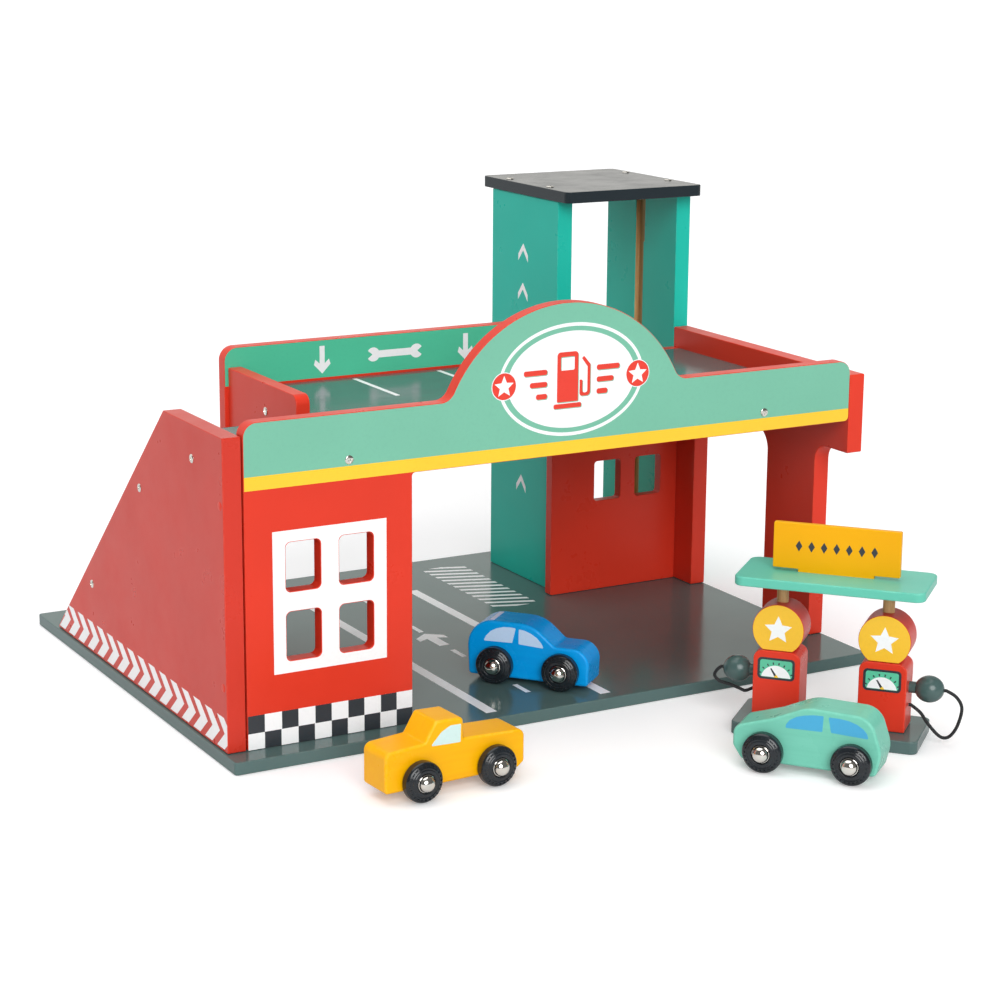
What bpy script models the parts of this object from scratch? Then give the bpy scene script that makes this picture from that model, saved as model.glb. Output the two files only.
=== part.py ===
"""Wooden toy service station.

A two-level garage on a base board, with a ramp up the left side, a lift tower at the back right,
a free-standing pump island and three cars.

Lengths are in metres and +Z is up. The origin is the middle of the base board's underside, +X runs
to the right along the front edge and +Y runs back into the garage. Heights called RISE start at the
base board's top, and places on the plan start at the base board's front left corner.
"""
import math

import bmesh
import bpy
from mathutils import Vector

# Clearances
SEAM = 0.0003            # between two faces that touch
RUNNING = 0.00005        # round a shaft that turns or slides in its bore
LIFT_PLAY = 0.00075      # between the lift and each tower wall
TONGUE_PLAY = 0.0006     # round the lift's tongues in their grooves
PANEL_SHADOW = 0.0015    # open joint between the outer wall and the front panel

# Base board
BASE_W = 0.584
BASE_D = 0.442
BASE_T = 0.010
BASE_CORNER_R = 0.003
FRONT_INSET = 0.020      # from the base board's front edge to the garage's front
OUTER_INSET = 0.0025     # from the base board's left edge to the outer wall

# Deck
DECK_RISE = 0.2104
DECK_T = 0.010
DECK_D = 0.255
LANDING_D = 0.1137       # from the deck's front edge to the crest of the ramp

# Ramp, the wall outside it and the guard wall inside it
RAMP_W = 0.1039
RAMP_T = 0.015
RAMP_ANGLE = math.radians(42.67)
OUTER_WALL_T = 0.015
OUTER_WALL_PARAPET = 0.0213
RAMP_LIP = 0.0098        # upright height of the outer wall's slant over the ramp
GUARD_T = 0.012
GUARD_PARAPET = 0.0183
GUARD_SETBACK = 0.0047   # from the ramp's crest to the guard wall
GUARD_DROP = 0.0042      # upright depth of the guard wall below the ramp
GUARD_CORNER_R = 0.008

# Front panel
PANEL_T = 0.012
PANEL_PARAPET = 0.0308
PANEL_CORNER_R = 0.011
FASCIA_DROP = 0.0107     # of the fascia's lower edge below the deck
FASCIA_CORNER_R = 0.004
SHOP_W = 0.1387          # the part of the panel that reaches the base board
SHOP_CORNER_R = 0.0045
HUMP_R = 0.112
HUMP_RISE = 0.0691       # of the hump over the panel's top edge
HUMP_FOOT_R = 0.0125
PANE_W = 0.0285
PANE_H = 0.038
PANE_R = 0.0045
PANE_PITCH_X = 0.044
PANE_PITCH_Z = 0.0537
PANE_INSET = 0.033       # from the panel's left edge to the first pane
PANE_RISE = 0.066

# Rear panel
REAR_T = 0.012
REAR_PARAPET = 0.035
REAR_H = 0.0777
REAR_OVERHANG = 0.0034   # past the guard wall
REAR_CORNER_R = 0.012

# Right side wall
SIDE_T = 0.015
SIDE_PARAPET = 0.0183
LINTEL_DROP = 0.0387     # of the wall's cut-outs below the deck
NOSE_D = 0.0445          # overhang in front of the front leg
NOSE_R = 0.014
FRONT_LEG_D = 0.0695
ARCH_R = 0.020
REAR_LEG_D = 0.039

# Lift tower
TOWER_WALL_T = 0.015
TOWER_D = 0.1194
TOWER_H = 0.3604
SHAFT_W = 0.1115
GROOVE_BACK = 0.0502     # from the groove's back edge to the tower's back edge
GROOVE_W = 0.014
GROOVE_DEPTH = 0.005
MOUTH_W = 0.016          # groove width above the step
MOUTH_RISE = 0.3112
ROOF_T = 0.010
ROOF_SIDE_OVERHANG = 0.0012
ROOF_END_OVERHANG = 0.018
ROOF_CORNER_R = 0.006
WINDOW_PANEL_T = 0.010
WINDOW_PANEL_LAP = 0.009  # past the tower's left wall
TOWER_PANE_W = 0.0283
TOWER_PANE_H = 0.0374
TOWER_PANE_R = 0.0045
TOWER_PANE_PITCH = 0.0439
TOWER_PANE_RISE = 0.0845
TOWER_PANE_INSET = 0.0175  # from the panel's right edge to the last pane

# Lift
LIFT_T = 0.010
LIFT_FRONT_PLAY = 0.0019
LIFT_BACK_PLAY = 0.001
TONGUE_END_PLAY = 0.001

# Screws and plugs
HEAD_R = 0.0035
HEAD_H = 0.0009
SHANK_R = 0.0015
SCREW_BITE = 0.018       # length of shank in the second board
PLUG_R = 0.0036
PLUG_DEPTH = 0.004
PLUG_CROWN = 0.0005
OUTER_SCREW_SETBACK = 0.0455   # from the deck's front edge
RAMP_SCREW_RUNS = (0.0418, 0.1588)   # from the ramp's crest, along Y
RAMP_SCREW_DROP = 0.0025       # below the middle of the ramp's thickness
PANEL_SCREW_INSETS = (0.0858, 0.0865)   # from the panel's left and right ends
GUARD_SCREW_RUN = 0.065        # from the ramp's crest
ROOF_SCREW_INSETS = (0.0274, 0.019)   # from the tower's front and back edges
PLUG_RISES = (0.0506, 0.190)

# Pump island, in its own frame: u along the island, v back, z up
ISLAND_X = 0.4499
ISLAND_Y = -0.1274
ISLAND_TURN = math.radians(-48.5)
ISLAND_L = 0.146
ISLAND_D = 0.0645
ISLAND_T = 0.0103
ISLAND_CORNER_R = 0.006
PUMP_W = 0.0372
PUMP_D = 0.029
PUMP_H = 0.0547
PUMP_CORNER_R = 0.007
PUMP_SPACING = 0.0831
DISC_R = 0.0204
DISC_T = 0.0256
DISC_SEAT = 0.0167       # from the disc's centre down to its flat
DOWEL_R = 0.0047
DOWEL_SHOW = 0.0182      # between the disc and the canopy
DISC_SOCKET = 0.006
CANOPY_L = 0.1476
CANOPY_D = 0.0647
CANOPY_T = 0.0075
CANOPY_CORNER_R = 0.008
CANOPY_FORWARD = 0.0018
CANOPY_SOCKET = 0.004
SIGN_W = 0.0993
SIGN_H = 0.0363
SIGN_T = 0.005
SIGN_CORNER_R = 0.0012
SIGN_LIFT = 0.0022       # of the sign's shoulders over the canopy
TONGUE_W = 0.0594
TONGUE_DEPTH = 0.005

# Nozzles and their cords
NOZZLE_RISE = 0.0337     # of the nozzle's axis over the island's base
NOZZLE_REACH = 0.0156    # from the pump's side to the middle of the ball
BALL_R = 0.0105
BALL_STRETCH = 1.09      # length of the ball over its width
TIP_R = 0.0022
STEM_R = 0.0045
STEM_DEPTH = 0.013       # the nozzle is clear of its bore when it is pulled this far
BORE_SPARE = 0.001
CORD_D = 0.0026
CORD_RISE = 0.0193       # of the cord's hole over the island's base
CORD_LEAD = 0.0016       # straight stretch at each end of a cord

# Cars
WHEEL_R = 0.0155
WHEEL_W = 0.0096
BODY_W = 0.032
WHEEL_GAP = 0.0009       # between a wheel and the body's side
HUB_R = 0.0052
AXLE_R = 0.0020
CAP_R = 0.0068
CAP_H = 0.0060
BODY_EDGE_R = 0.0024
PICKUP_L = 0.1197
PICKUP_WHEELBASE = 0.064
PICKUP_X = 0.1282
PICKUP_Y = -0.0893
PICKUP_TURN = math.radians(3.9)
HATCHBACK_L = 0.1057
HATCHBACK_WHEELBASE = 0.0565
HATCHBACK_X = 0.2958
HATCHBACK_Y = 0.0681
HATCHBACK_TURN = math.radians(-49.5)
ESTATE_L = 0.1151
ESTATE_WHEELBASE = 0.0677
ESTATE_X = 0.3868
ESTATE_Y = -0.1906
ESTATE_TURN = math.radians(-52.0)

# Facets
FACET_SAG = 0.0002       # of an arc over its chords
WHEEL_SIDES = 20
SHAFT_SIDES = 16
SCREW_SIDES = 10

# Places that several pieces share
LEFT = -BASE_W / 2
RIGHT = BASE_W / 2
FRONT = -BASE_D / 2
STAND_Z = BASE_T + SEAM
PANEL_FRONT_Y = FRONT + FRONT_INSET
PANEL_BACK_Y = PANEL_FRONT_Y + PANEL_T
DECK_FRONT_Y = PANEL_BACK_Y + SEAM
DECK_BACK_Y = DECK_FRONT_Y + DECK_D
CREST_Y = DECK_FRONT_Y + LANDING_D
DECK_Z = BASE_T + DECK_RISE
DECK_TOP_Z = DECK_Z + DECK_T
OUTER_X = LEFT + OUTER_INSET
RAMP_X = OUTER_X + OUTER_WALL_T + SEAM
GUARD_X = RAMP_X + RAMP_W + SEAM
SIDE_X = RIGHT - SIDE_T
TOWER_FRONT_Y = DECK_BACK_Y + SEAM
TOWER_BACK_Y = TOWER_FRONT_Y + TOWER_D
TOWER_RIGHT_X = RIGHT - TOWER_WALL_T
TOWER_LEFT_X = TOWER_RIGHT_X - SHAFT_W - TOWER_WALL_T
TOWER_TOP_Z = STAND_Z + TOWER_H
GROOVE_BACK_Y = TOWER_BACK_Y - GROOVE_BACK
RAMP_SLOPE = math.tan(RAMP_ANGLE)
RAMP_UPRIGHT_T = RAMP_T / math.cos(RAMP_ANGLE)
WINDOW_PANEL_X = TOWER_LEFT_X - WINDOW_PANEL_LAP
WINDOW_PANEL_Y = DECK_BACK_Y - WINDOW_PANEL_T
FASCIA_Z = DECK_Z - FASCIA_DROP
PANEL_TOP_Z = DECK_TOP_Z + PANEL_PARAPET
PANEL_X = OUTER_X + OUTER_WALL_T + PANEL_SHADOW
PANEL_END_X = SIDE_X - SEAM
WHEEL_Y = BODY_W / 2 + WHEEL_GAP + WHEEL_W / 2
WHEEL_SEAT = 0.36 * WHEEL_W


def ramp_z(y):
    """Height of the ramp's top at y."""
    return DECK_TOP_Z - (y - CREST_Y - SEAM) * RAMP_SLOPE


def ramp_y(z):
    """Place along Y where the ramp's top has the height z."""
    return CREST_Y + SEAM + (DECK_TOP_Z - z) / RAMP_SLOPE


def paint(name, red, green, blue, roughness=0.4, metallic=0.0):
    """Principled material from display colour values of 0 to 255."""
    material = bpy.data.materials.new(name)
    material.use_nodes = True
    shader = material.node_tree.nodes["Principled BSDF"]
    linear = [(value / 255) ** 2.2 for value in (red, green, blue)]
    shader.inputs["Base Color"].default_value = (*linear, 1.0)
    shader.inputs["Roughness"].default_value = roughness
    shader.inputs["Metallic"].default_value = metallic
    material.diffuse_color = (*linear, 1.0)
    return material


def add(name, bm, place, material, parent=None):
    """Closed mesh as a named object."""
    bmesh.ops.recalc_face_normals(bm, faces=bm.faces)
    mesh = bpy.data.meshes.new(name)
    bm.to_mesh(mesh)
    bm.free()
    mesh.materials.append(material)
    obj = bpy.data.objects.new(name, mesh)
    bpy.context.scene.collection.objects.link(obj)
    obj.location = place
    obj.parent = parent
    return obj


def empty(name, place, turn=0.0, parent=None):
    """Empty that carries the pieces of one group."""
    obj = bpy.data.objects.new(name, None)
    bpy.context.scene.collection.objects.link(obj)
    obj.empty_display_size = 0.02
    obj.location = place
    obj.rotation_euler = (0.0, 0.0, turn)
    obj.parent = parent
    return obj


def spot(along, a, b, c):
    """Point with c along the named axis and a and b along the other two, in axis order."""
    values = [a, b]
    values.insert("XYZ".index(along), c)
    return Vector(values)


def arc_count(radius, sweep):
    """Number of chords that an arc needs."""
    return max(2, math.ceil(abs(sweep) / (2 * math.acos(1 - FACET_SAG / radius))))


def rounded(corners):
    """Outline through corners (a, b, radius), each radius turned into an arc."""
    outline = []
    for index, (a, b, radius) in enumerate(corners):
        here = Vector((a, b))
        back = Vector(corners[index - 1][:2]) - here
        ahead = Vector(corners[(index + 1) % len(corners)][:2]) - here
        if radius == 0:
            outline.append(here)
            continue
        half = back.angle(ahead) / 2
        reach = min(radius / math.tan(half), 0.49 * back.length, 0.49 * ahead.length)
        radius = reach * math.tan(half)
        centre = here + (back.normalized() + ahead.normalized()).normalized() * radius / math.sin(half)
        start = here + back.normalized() * reach - centre
        sweep = -start.angle_signed(here + ahead.normalized() * reach - centre)
        count = arc_count(radius, sweep)
        first = math.atan2(start.y, start.x)
        outline += [centre + radius * Vector((math.cos(first + sweep * k / count),
                                              math.sin(first + sweep * k / count)))
                    for k in range(count + 1)]
    return outline


def box_outline(a0, b0, a1, b1, radius=0.0):
    """Rectangle with four like corners."""
    return rounded([(a0, b0, radius), (a1, b0, radius), (a1, b1, radius), (a0, b1, radius)])


def board(name, outline, along, near, far, material, parent=None):
    """Board with the outline drawn across the named axis and extruded from near to far."""
    corner = spot(along, min(p[0] for p in outline), min(p[1] for p in outline), near)
    bm = bmesh.new()
    face = bm.faces.new([bm.verts.new(spot(along, p[0], p[1], near) - corner) for p in outline])
    pushed = bmesh.ops.extrude_face_region(bm, geom=[face])["geom"]
    moved = [item for item in pushed if isinstance(item, bmesh.types.BMVert)]
    bmesh.ops.translate(bm, verts=moved, vec=spot(along, 0, 0, far - near))
    return add(name, bm, corner, material, parent)


def ease(obj, width, segments=1):
    """Rounded edges all round a board."""
    bevel = obj.modifiers.new("eased_edges", "BEVEL")
    bevel.width = width
    bevel.segments = segments
    bevel.limit_method = "ANGLE"
    bevel.angle_limit = math.radians(50)


def spun(name, profile, sides, material):
    """Mesh of a profile (radius, height) spun round +Z."""
    bm = bmesh.new()
    line = [bm.verts.new((radius, 0, height)) for radius, height in profile]
    edges = [bm.edges.new(pair) for pair in zip(line, line[1:])]
    if profile[0][0] > 0:
        edges.append(bm.edges.new((line[-1], line[0])))
    bmesh.ops.spin(bm, geom=line + edges, cent=(0, 0, 0), axis=(0, 0, 1), angle=math.tau, steps=sides)
    bmesh.ops.remove_doubles(bm, verts=bm.verts, dist=1e-6)
    bmesh.ops.recalc_face_normals(bm, faces=bm.faces)
    mesh = bpy.data.meshes.new(name)
    bm.to_mesh(mesh)
    bm.free()
    mesh.materials.append(material)
    mesh.shade_smooth()
    mesh.set_sharp_from_angle(angle=math.radians(35))
    return mesh


def seat(name, mesh, place, direction=(0, 0, 1), parent=None):
    """Turned piece at a place, with its own +Z along the direction."""
    obj = bpy.data.objects.new(name, mesh)
    bpy.context.scene.collection.objects.link(obj)
    obj.location = place
    obj.rotation_euler = Vector(direction).to_track_quat("Z", "Y").to_euler()
    obj.parent = parent
    return obj


def cut(obj, cutter):
    """Boolean cut by a hidden guide object."""
    cutter.hide_render = True
    cutter.display_type = "WIRE"
    boolean = obj.modifiers.new("cut_" + cutter.name, "BOOLEAN")
    boolean.object = cutter
    boolean.operation = "DIFFERENCE"
    boolean.solver = "EXACT"


def drill(name, objs, place, direction, radius, depth, sides=SCREW_SIDES, parent=None):
    """Round hole from a face inwards; direction points out of the face."""
    out = 2 * HEAD_H
    profile = [(0, out), (radius, out), (radius, -depth), (0, -depth)]
    cutter = seat(name, spun(name, profile, sides, CUTTER), place, direction, parent)
    for obj in objs:
        cut(obj, cutter)


def screw_profile(length):
    """Dome-headed screw with its head over a face at height 0."""
    return [(0, SEAM + HEAD_H), (0.65 * HEAD_R, SEAM + 0.75 * HEAD_H), (HEAD_R, SEAM), (SHANK_R, SEAM),
            (SHANK_R, -length + SHANK_R), (0, -length)]


def fasten(name, places, direction, first, first_t, seconds):
    """Screws through the first board, each into the board behind it."""
    length = first_t + SCREW_BITE
    mesh = spun(name, screw_profile(length), SCREW_SIDES, STEEL)
    for number, (place, second) in enumerate(zip(places, seconds), 1):
        drill(f"{name}_hole_{number}", [first, second], place, direction, SHANK_R + SEAM, length + SEAM)
        seat(f"{name}_{number}", mesh, place, direction)


def smooth_route(points, spacing):
    """Points at an even spacing on the smooth curve through a route."""
    fine = 24
    dense = []
    for p0, p1, p2, p3 in zip(points, points[1:], points[2:], points[3:]):
        for k in range(fine):
            t = k / fine
            dense.append(0.5 * (2 * p1 + t * (p2 - p0) + t * t * (2 * p0 - 5 * p1 + 4 * p2 - p3)
                                + t * t * t * (3 * p1 - p0 - 3 * p2 + p3)))
    dense.append(points[-2])
    runs = [0.0]
    for a, b in zip(dense, dense[1:]):
        runs.append(runs[-1] + (b - a).length)
    count = math.ceil(runs[-1] / spacing)
    route = [points[0]]
    at = 0
    for k in range(count + 1):
        goal = min(runs[-1] * k / count, runs[-1])
        while at < len(runs) - 2 and runs[at + 1] < goal:
            at += 1
        share = (goal - runs[at]) / (runs[at + 1] - runs[at])
        route.append(dense[at].lerp(dense[at + 1], share))
    route.append(points[-1])
    return route


def cord(name, points, material, parent):
    """Round cord along a route, with closed ends."""
    route = smooth_route(points, 2 * CORD_D)
    curve = bpy.data.curves.new(name, "CURVE")
    curve.dimensions = "3D"
    curve.bevel_depth = CORD_D / 2
    curve.bevel_resolution = 2
    curve.use_fill_caps = True
    spline = curve.splines.new("POLY")
    spline.points.add(len(route) - 1)
    for point, place in zip(spline.points, route):
        point.co = (*place, 1.0)
    curve.materials.append(material)
    obj = bpy.data.objects.new(name, curve)
    bpy.context.scene.collection.objects.link(obj)
    obj.parent = parent
    return obj


def base_board():
    outline = box_outline(LEFT, FRONT, RIGHT, -FRONT, BASE_CORNER_R)
    obj = board("base_board", outline, "Z", 0.0, BASE_T, SLATE)
    ease(obj, 0.0008)
    return obj


def ramp_outer_wall():
    top_z = DECK_TOP_Z + OUTER_WALL_PARAPET
    slant_y = ramp_y(top_z - RAMP_LIP)
    foot_y = ramp_y(STAND_Z - RAMP_LIP)
    outline = [(PANEL_FRONT_Y, STAND_Z), (foot_y, STAND_Z), (slant_y, top_z), (PANEL_FRONT_Y, top_z)]
    return board("ramp_outer_wall", outline, "X", OUTER_X, OUTER_X + OUTER_WALL_T, RED)


def front_panel():
    """Shop wall, fascia and round hump in one board, with four panes cut through the shop wall."""
    hump_x = (PANEL_X + PANEL_END_X) / 2
    hump_z = PANEL_TOP_Z + HUMP_RISE - HUMP_R
    foot_z = PANEL_TOP_Z + HUMP_FOOT_R
    span = HUMP_R + HUMP_FOOT_R
    foot_x = math.sqrt(span ** 2 - (foot_z - hump_z) ** 2)
    lean = math.atan2(foot_z - hump_z, foot_x)
    foot_turn = math.pi / 2 - lean
    foot_steps = arc_count(HUMP_FOOT_R, foot_turn)
    foot = [(foot_x - HUMP_FOOT_R * math.sin(foot_turn * k / foot_steps),
             foot_z - HUMP_FOOT_R * math.cos(foot_turn * k / foot_steps))
            for k in range(foot_steps + 1)]
    crown_turn = math.pi - 2 * lean
    crown_steps = arc_count(HUMP_R, crown_turn)
    crown = [(HUMP_R * math.cos(lean + crown_turn * k / crown_steps),
              hump_z + HUMP_R * math.sin(lean + crown_turn * k / crown_steps))
             for k in range(1, crown_steps)]
    hump = foot + crown + [(-x, z) for x, z in reversed(foot)]
    shop_x = PANEL_X + SHOP_W
    below = rounded([(PANEL_X, STAND_Z, 0), (shop_x, STAND_Z, 0), (shop_x, FASCIA_Z, SHOP_CORNER_R),
                     (PANEL_END_X, FASCIA_Z, FASCIA_CORNER_R), (PANEL_END_X, PANEL_TOP_Z, PANEL_CORNER_R),
                     (hump_x, PANEL_TOP_Z, 0), (PANEL_X, PANEL_TOP_Z, PANEL_CORNER_R)])
    middle = next(k for k, p in enumerate(below) if abs(p[0] - hump_x) < 1e-6)
    outline = [tuple(p) for p in below[:middle]] + [(hump_x + x, z) for x, z in hump]
    outline += [tuple(p) for p in below[middle + 1:]]
    obj = board("front_panel", outline, "Y", PANEL_FRONT_Y, PANEL_BACK_Y, RED)
    for column in range(2):
        for row in range(2):
            x = PANEL_X + PANE_INSET + column * PANE_PITCH_X
            z = BASE_T + PANE_RISE + row * PANE_PITCH_Z
            pane = box_outline(x, z, x + PANE_W, z + PANE_H, PANE_R)
            cut(obj, board(f"shop_pane_{column}{row}", pane, "Y", PANEL_FRONT_Y - PANEL_T,
                           PANEL_BACK_Y + PANEL_T, CUTTER))
    return obj


def deck_board():
    """Deck with the ramp's opening, the guard wall's slot and a notch for the window panel."""
    ramp_edge = RAMP_X + RAMP_W + SEAM
    slot_edge = GUARD_X + GUARD_T + SEAM
    slot_y = CREST_Y + GUARD_SETBACK
    notch_x = WINDOW_PANEL_X - SEAM
    notch_y = WINDOW_PANEL_Y - SEAM
    end_x = SIDE_X - SEAM
    outline = [(RAMP_X, DECK_FRONT_Y), (end_x, DECK_FRONT_Y), (end_x, notch_y), (notch_x, notch_y),
               (notch_x, DECK_BACK_Y), (slot_edge, DECK_BACK_Y), (slot_edge, slot_y), (ramp_edge, slot_y),
               (ramp_edge, CREST_Y), (RAMP_X, CREST_Y)]
    return board("deck_board", outline, "Z", DECK_Z, DECK_TOP_Z, SLATE)


def ramp_board():
    """Slanted ramp, cut upright under the crest and level at its toe."""
    top_y = CREST_Y + SEAM
    under = DECK_TOP_Z - RAMP_UPRIGHT_T
    outline = [(top_y, DECK_TOP_Z), (top_y, under),
               (top_y + (under - STAND_Z) / RAMP_SLOPE, STAND_Z), (ramp_y(STAND_Z), STAND_Z)]
    return board("ramp_board", outline, "X", RAMP_X, RAMP_X + RAMP_W, SLATE)


def ramp_guard_wall():
    """Guard between the ramp and the deck; its slanted lower edge follows the ramp's underside."""
    front_y = CREST_Y + SEAM + GUARD_SETBACK
    top_z = DECK_TOP_Z + GUARD_PARAPET
    drop = RAMP_UPRIGHT_T + GUARD_DROP
    outline = rounded([(front_y, ramp_z(front_y) - drop, 0), (DECK_BACK_Y, ramp_z(DECK_BACK_Y) - drop, 0),
                       (DECK_BACK_Y, top_z, 0), (front_y, top_z, GUARD_CORNER_R)])
    return board("ramp_guard_wall", outline, "X", GUARD_X, GUARD_X + GUARD_T, RED)


def rear_panel():
    top_z = DECK_TOP_Z + REAR_PARAPET
    left_x = GUARD_X - REAR_OVERHANG
    right_x = TOWER_LEFT_X - SEAM
    outline = rounded([(left_x, top_z - REAR_H, 0), (right_x, top_z - REAR_H, 0), (right_x, top_z, 0),
                       (left_x, top_z, REAR_CORNER_R)])
    return board("rear_panel", outline, "Y", TOWER_FRONT_Y, TOWER_FRONT_Y + REAR_T, RED)


def side_wall_right():
    """Right wall on two legs: an overhanging nose at the front and an arch between the legs."""
    top_z = DECK_TOP_Z + SIDE_PARAPET
    lintel_z = DECK_Z - LINTEL_DROP
    leg_y = PANEL_FRONT_Y + NOSE_D
    arch_y = leg_y + FRONT_LEG_D
    rear_y = DECK_BACK_Y - REAR_LEG_D
    outline = rounded([(PANEL_FRONT_Y, lintel_z, 0), (leg_y, lintel_z, NOSE_R), (leg_y, STAND_Z, 0),
                       (arch_y, STAND_Z, 0), (arch_y, lintel_z, ARCH_R), (rear_y, lintel_z, ARCH_R),
                       (rear_y, STAND_Z, 0), (DECK_BACK_Y, STAND_Z, 0), (DECK_BACK_Y, top_z, 0),
                       (PANEL_FRONT_Y, top_z, 0)])
    return board("side_wall_right", outline, "X", SIDE_X, RIGHT, RED)


def tower_wall(name, near_x, inner_x, side):
    """Tower wall with the lift's stepped groove in its inner face; side points into the wall."""
    outline = box_outline(TOWER_FRONT_Y, STAND_Z, TOWER_BACK_Y, TOWER_TOP_Z)
    obj = board(name, outline, "X", near_x, near_x + TOWER_WALL_T, TEAL_DEEP)
    spare = GROOVE_DEPTH
    step_z = BASE_T + MOUTH_RISE
    groove = [(GROOVE_BACK_Y, STAND_Z - spare), (GROOVE_BACK_Y, TOWER_TOP_Z + spare),
              (GROOVE_BACK_Y - MOUTH_W, TOWER_TOP_Z + spare), (GROOVE_BACK_Y - MOUTH_W, step_z),
              (GROOVE_BACK_Y - GROOVE_W, step_z), (GROOVE_BACK_Y - GROOVE_W, STAND_Z - spare)]
    ends = sorted((inner_x + side * GROOVE_DEPTH, inner_x - side * spare))
    cut(obj, board(name + "_groove", groove, "X", *ends, CUTTER))
    return obj


def tower_roof():
    outline = box_outline(TOWER_LEFT_X - ROOF_SIDE_OVERHANG, TOWER_FRONT_Y - ROOF_END_OVERHANG,
                          RIGHT + ROOF_SIDE_OVERHANG, TOWER_BACK_Y + ROOF_END_OVERHANG, ROOF_CORNER_R)
    return board("tower_roof", outline, "Z", TOWER_TOP_Z + SEAM, TOWER_TOP_Z + SEAM + ROOF_T, SLATE)


def tower_window_panel():
    """Panel that closes the shaft's front below the deck, with two panes."""
    end_x = SIDE_X - SEAM
    outline = box_outline(WINDOW_PANEL_X, STAND_Z, end_x, DECK_TOP_Z)
    obj = board("tower_window_panel", outline, "Y", WINDOW_PANEL_Y, DECK_BACK_Y, RED)
    z = BASE_T + TOWER_PANE_RISE
    for number in range(2):
        right = end_x - TOWER_PANE_INSET - number * TOWER_PANE_PITCH
        pane = box_outline(right - TOWER_PANE_W, z, right, z + TOWER_PANE_H, TOWER_PANE_R)
        cut(obj, board(f"tower_pane_{number}", pane, "Y", WINDOW_PANEL_Y - WINDOW_PANEL_T,
                       DECK_BACK_Y + WINDOW_PANEL_T, CUTTER))
    return obj


def lift_platform():
    """Lift with a tongue at each side that runs in the tower's grooves."""
    left_x = TOWER_LEFT_X + TOWER_WALL_T + LIFT_PLAY
    right_x = TOWER_RIGHT_X - LIFT_PLAY
    front_y = TOWER_FRONT_Y + LIFT_FRONT_PLAY
    back_y = TOWER_BACK_Y - LIFT_BACK_PLAY
    reach = LIFT_PLAY + GROOVE_DEPTH - TONGUE_END_PLAY
    near_y = GROOVE_BACK_Y - GROOVE_W + TONGUE_PLAY
    far_y = GROOVE_BACK_Y - TONGUE_PLAY
    outline = [(left_x, front_y), (right_x, front_y), (right_x, near_y), (right_x + reach, near_y),
               (right_x + reach, far_y), (right_x, far_y), (right_x, back_y), (left_x, back_y),
               (left_x, far_y), (left_x - reach, far_y), (left_x - reach, near_y), (left_x, near_y)]
    return board("lift_platform", outline, "Z", STAND_Z, STAND_Z + LIFT_T, YELLOW)


def garage_screws(outer, panel, deck, ramp, guard, roof, towers):
    """Screws of the garage and the plugs over the outer wall's two front screws."""
    deck_mid_z = DECK_Z + DECK_T / 2
    places = [(OUTER_X, DECK_FRONT_Y + OUTER_SCREW_SETBACK, deck_mid_z)]
    for run in RAMP_SCREW_RUNS:
        y = CREST_Y + run
        places.append((OUTER_X, y, ramp_z(y) - RAMP_UPRIGHT_T / 2 - RAMP_SCREW_DROP))
    fasten("outer_wall_screw", places, (-1, 0, 0), outer, OUTER_WALL_T, [deck, ramp, ramp])

    ends = (PANEL_X + PANEL_SCREW_INSETS[0], PANEL_END_X - PANEL_SCREW_INSETS[1])
    places = [(x, PANEL_FRONT_Y, deck_mid_z) for x in ends]
    fasten("panel_screw", places, (0, -1, 0), panel, PANEL_T, [deck, deck])

    places = [(GUARD_X, CREST_Y + GUARD_SCREW_RUN, deck_mid_z)]
    fasten("guard_screw", places, (-1, 0, 0), guard, GUARD_T, [deck])

    rows = (TOWER_FRONT_Y + ROOF_SCREW_INSETS[0], TOWER_BACK_Y - ROOF_SCREW_INSETS[1])
    columns = (TOWER_LEFT_X + TOWER_WALL_T / 2, TOWER_RIGHT_X + TOWER_WALL_T / 2)
    places = [(x, y, TOWER_TOP_Z + SEAM + ROOF_T) for x in columns for y in rows]
    walls = [tower for tower in towers for row in rows]
    fasten("roof_screw", places, (0, 0, 1), roof, ROOF_T + SEAM, walls)

    profile = [(0, PLUG_CROWN), (0.7 * PLUG_R, 0.7 * PLUG_CROWN), (PLUG_R, 0), (PLUG_R, -PLUG_DEPTH),
               (0, -PLUG_DEPTH)]
    plug = spun("wall_plug", profile, SCREW_SIDES, RED)
    for number, rise in enumerate(PLUG_RISES, 1):
        place = (OUTER_X, PANEL_FRONT_Y + PANEL_T / 2, BASE_T + rise)
        drill(f"plug_hole_{number}", [outer], place, (-1, 0, 0), PLUG_R + SEAM, PLUG_DEPTH + SEAM)
        seat(f"wall_plug_{number}", plug, place, (-1, 0, 0))


def garage():
    """All the boards that stand on the base board."""
    base_board()
    outer = ramp_outer_wall()
    panel = front_panel()
    deck = deck_board()
    ramp = ramp_board()
    guard = ramp_guard_wall()
    rear_panel()
    side_wall_right()
    left = tower_wall("tower_wall_left", TOWER_LEFT_X, TOWER_LEFT_X + TOWER_WALL_T, -1)
    right = tower_wall("tower_wall_right", TOWER_RIGHT_X, TOWER_RIGHT_X, 1)
    roof = tower_roof()
    tower_window_panel()
    lift_platform()
    garage_screws(outer, panel, deck, ramp, guard, roof, [left, right])


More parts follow.
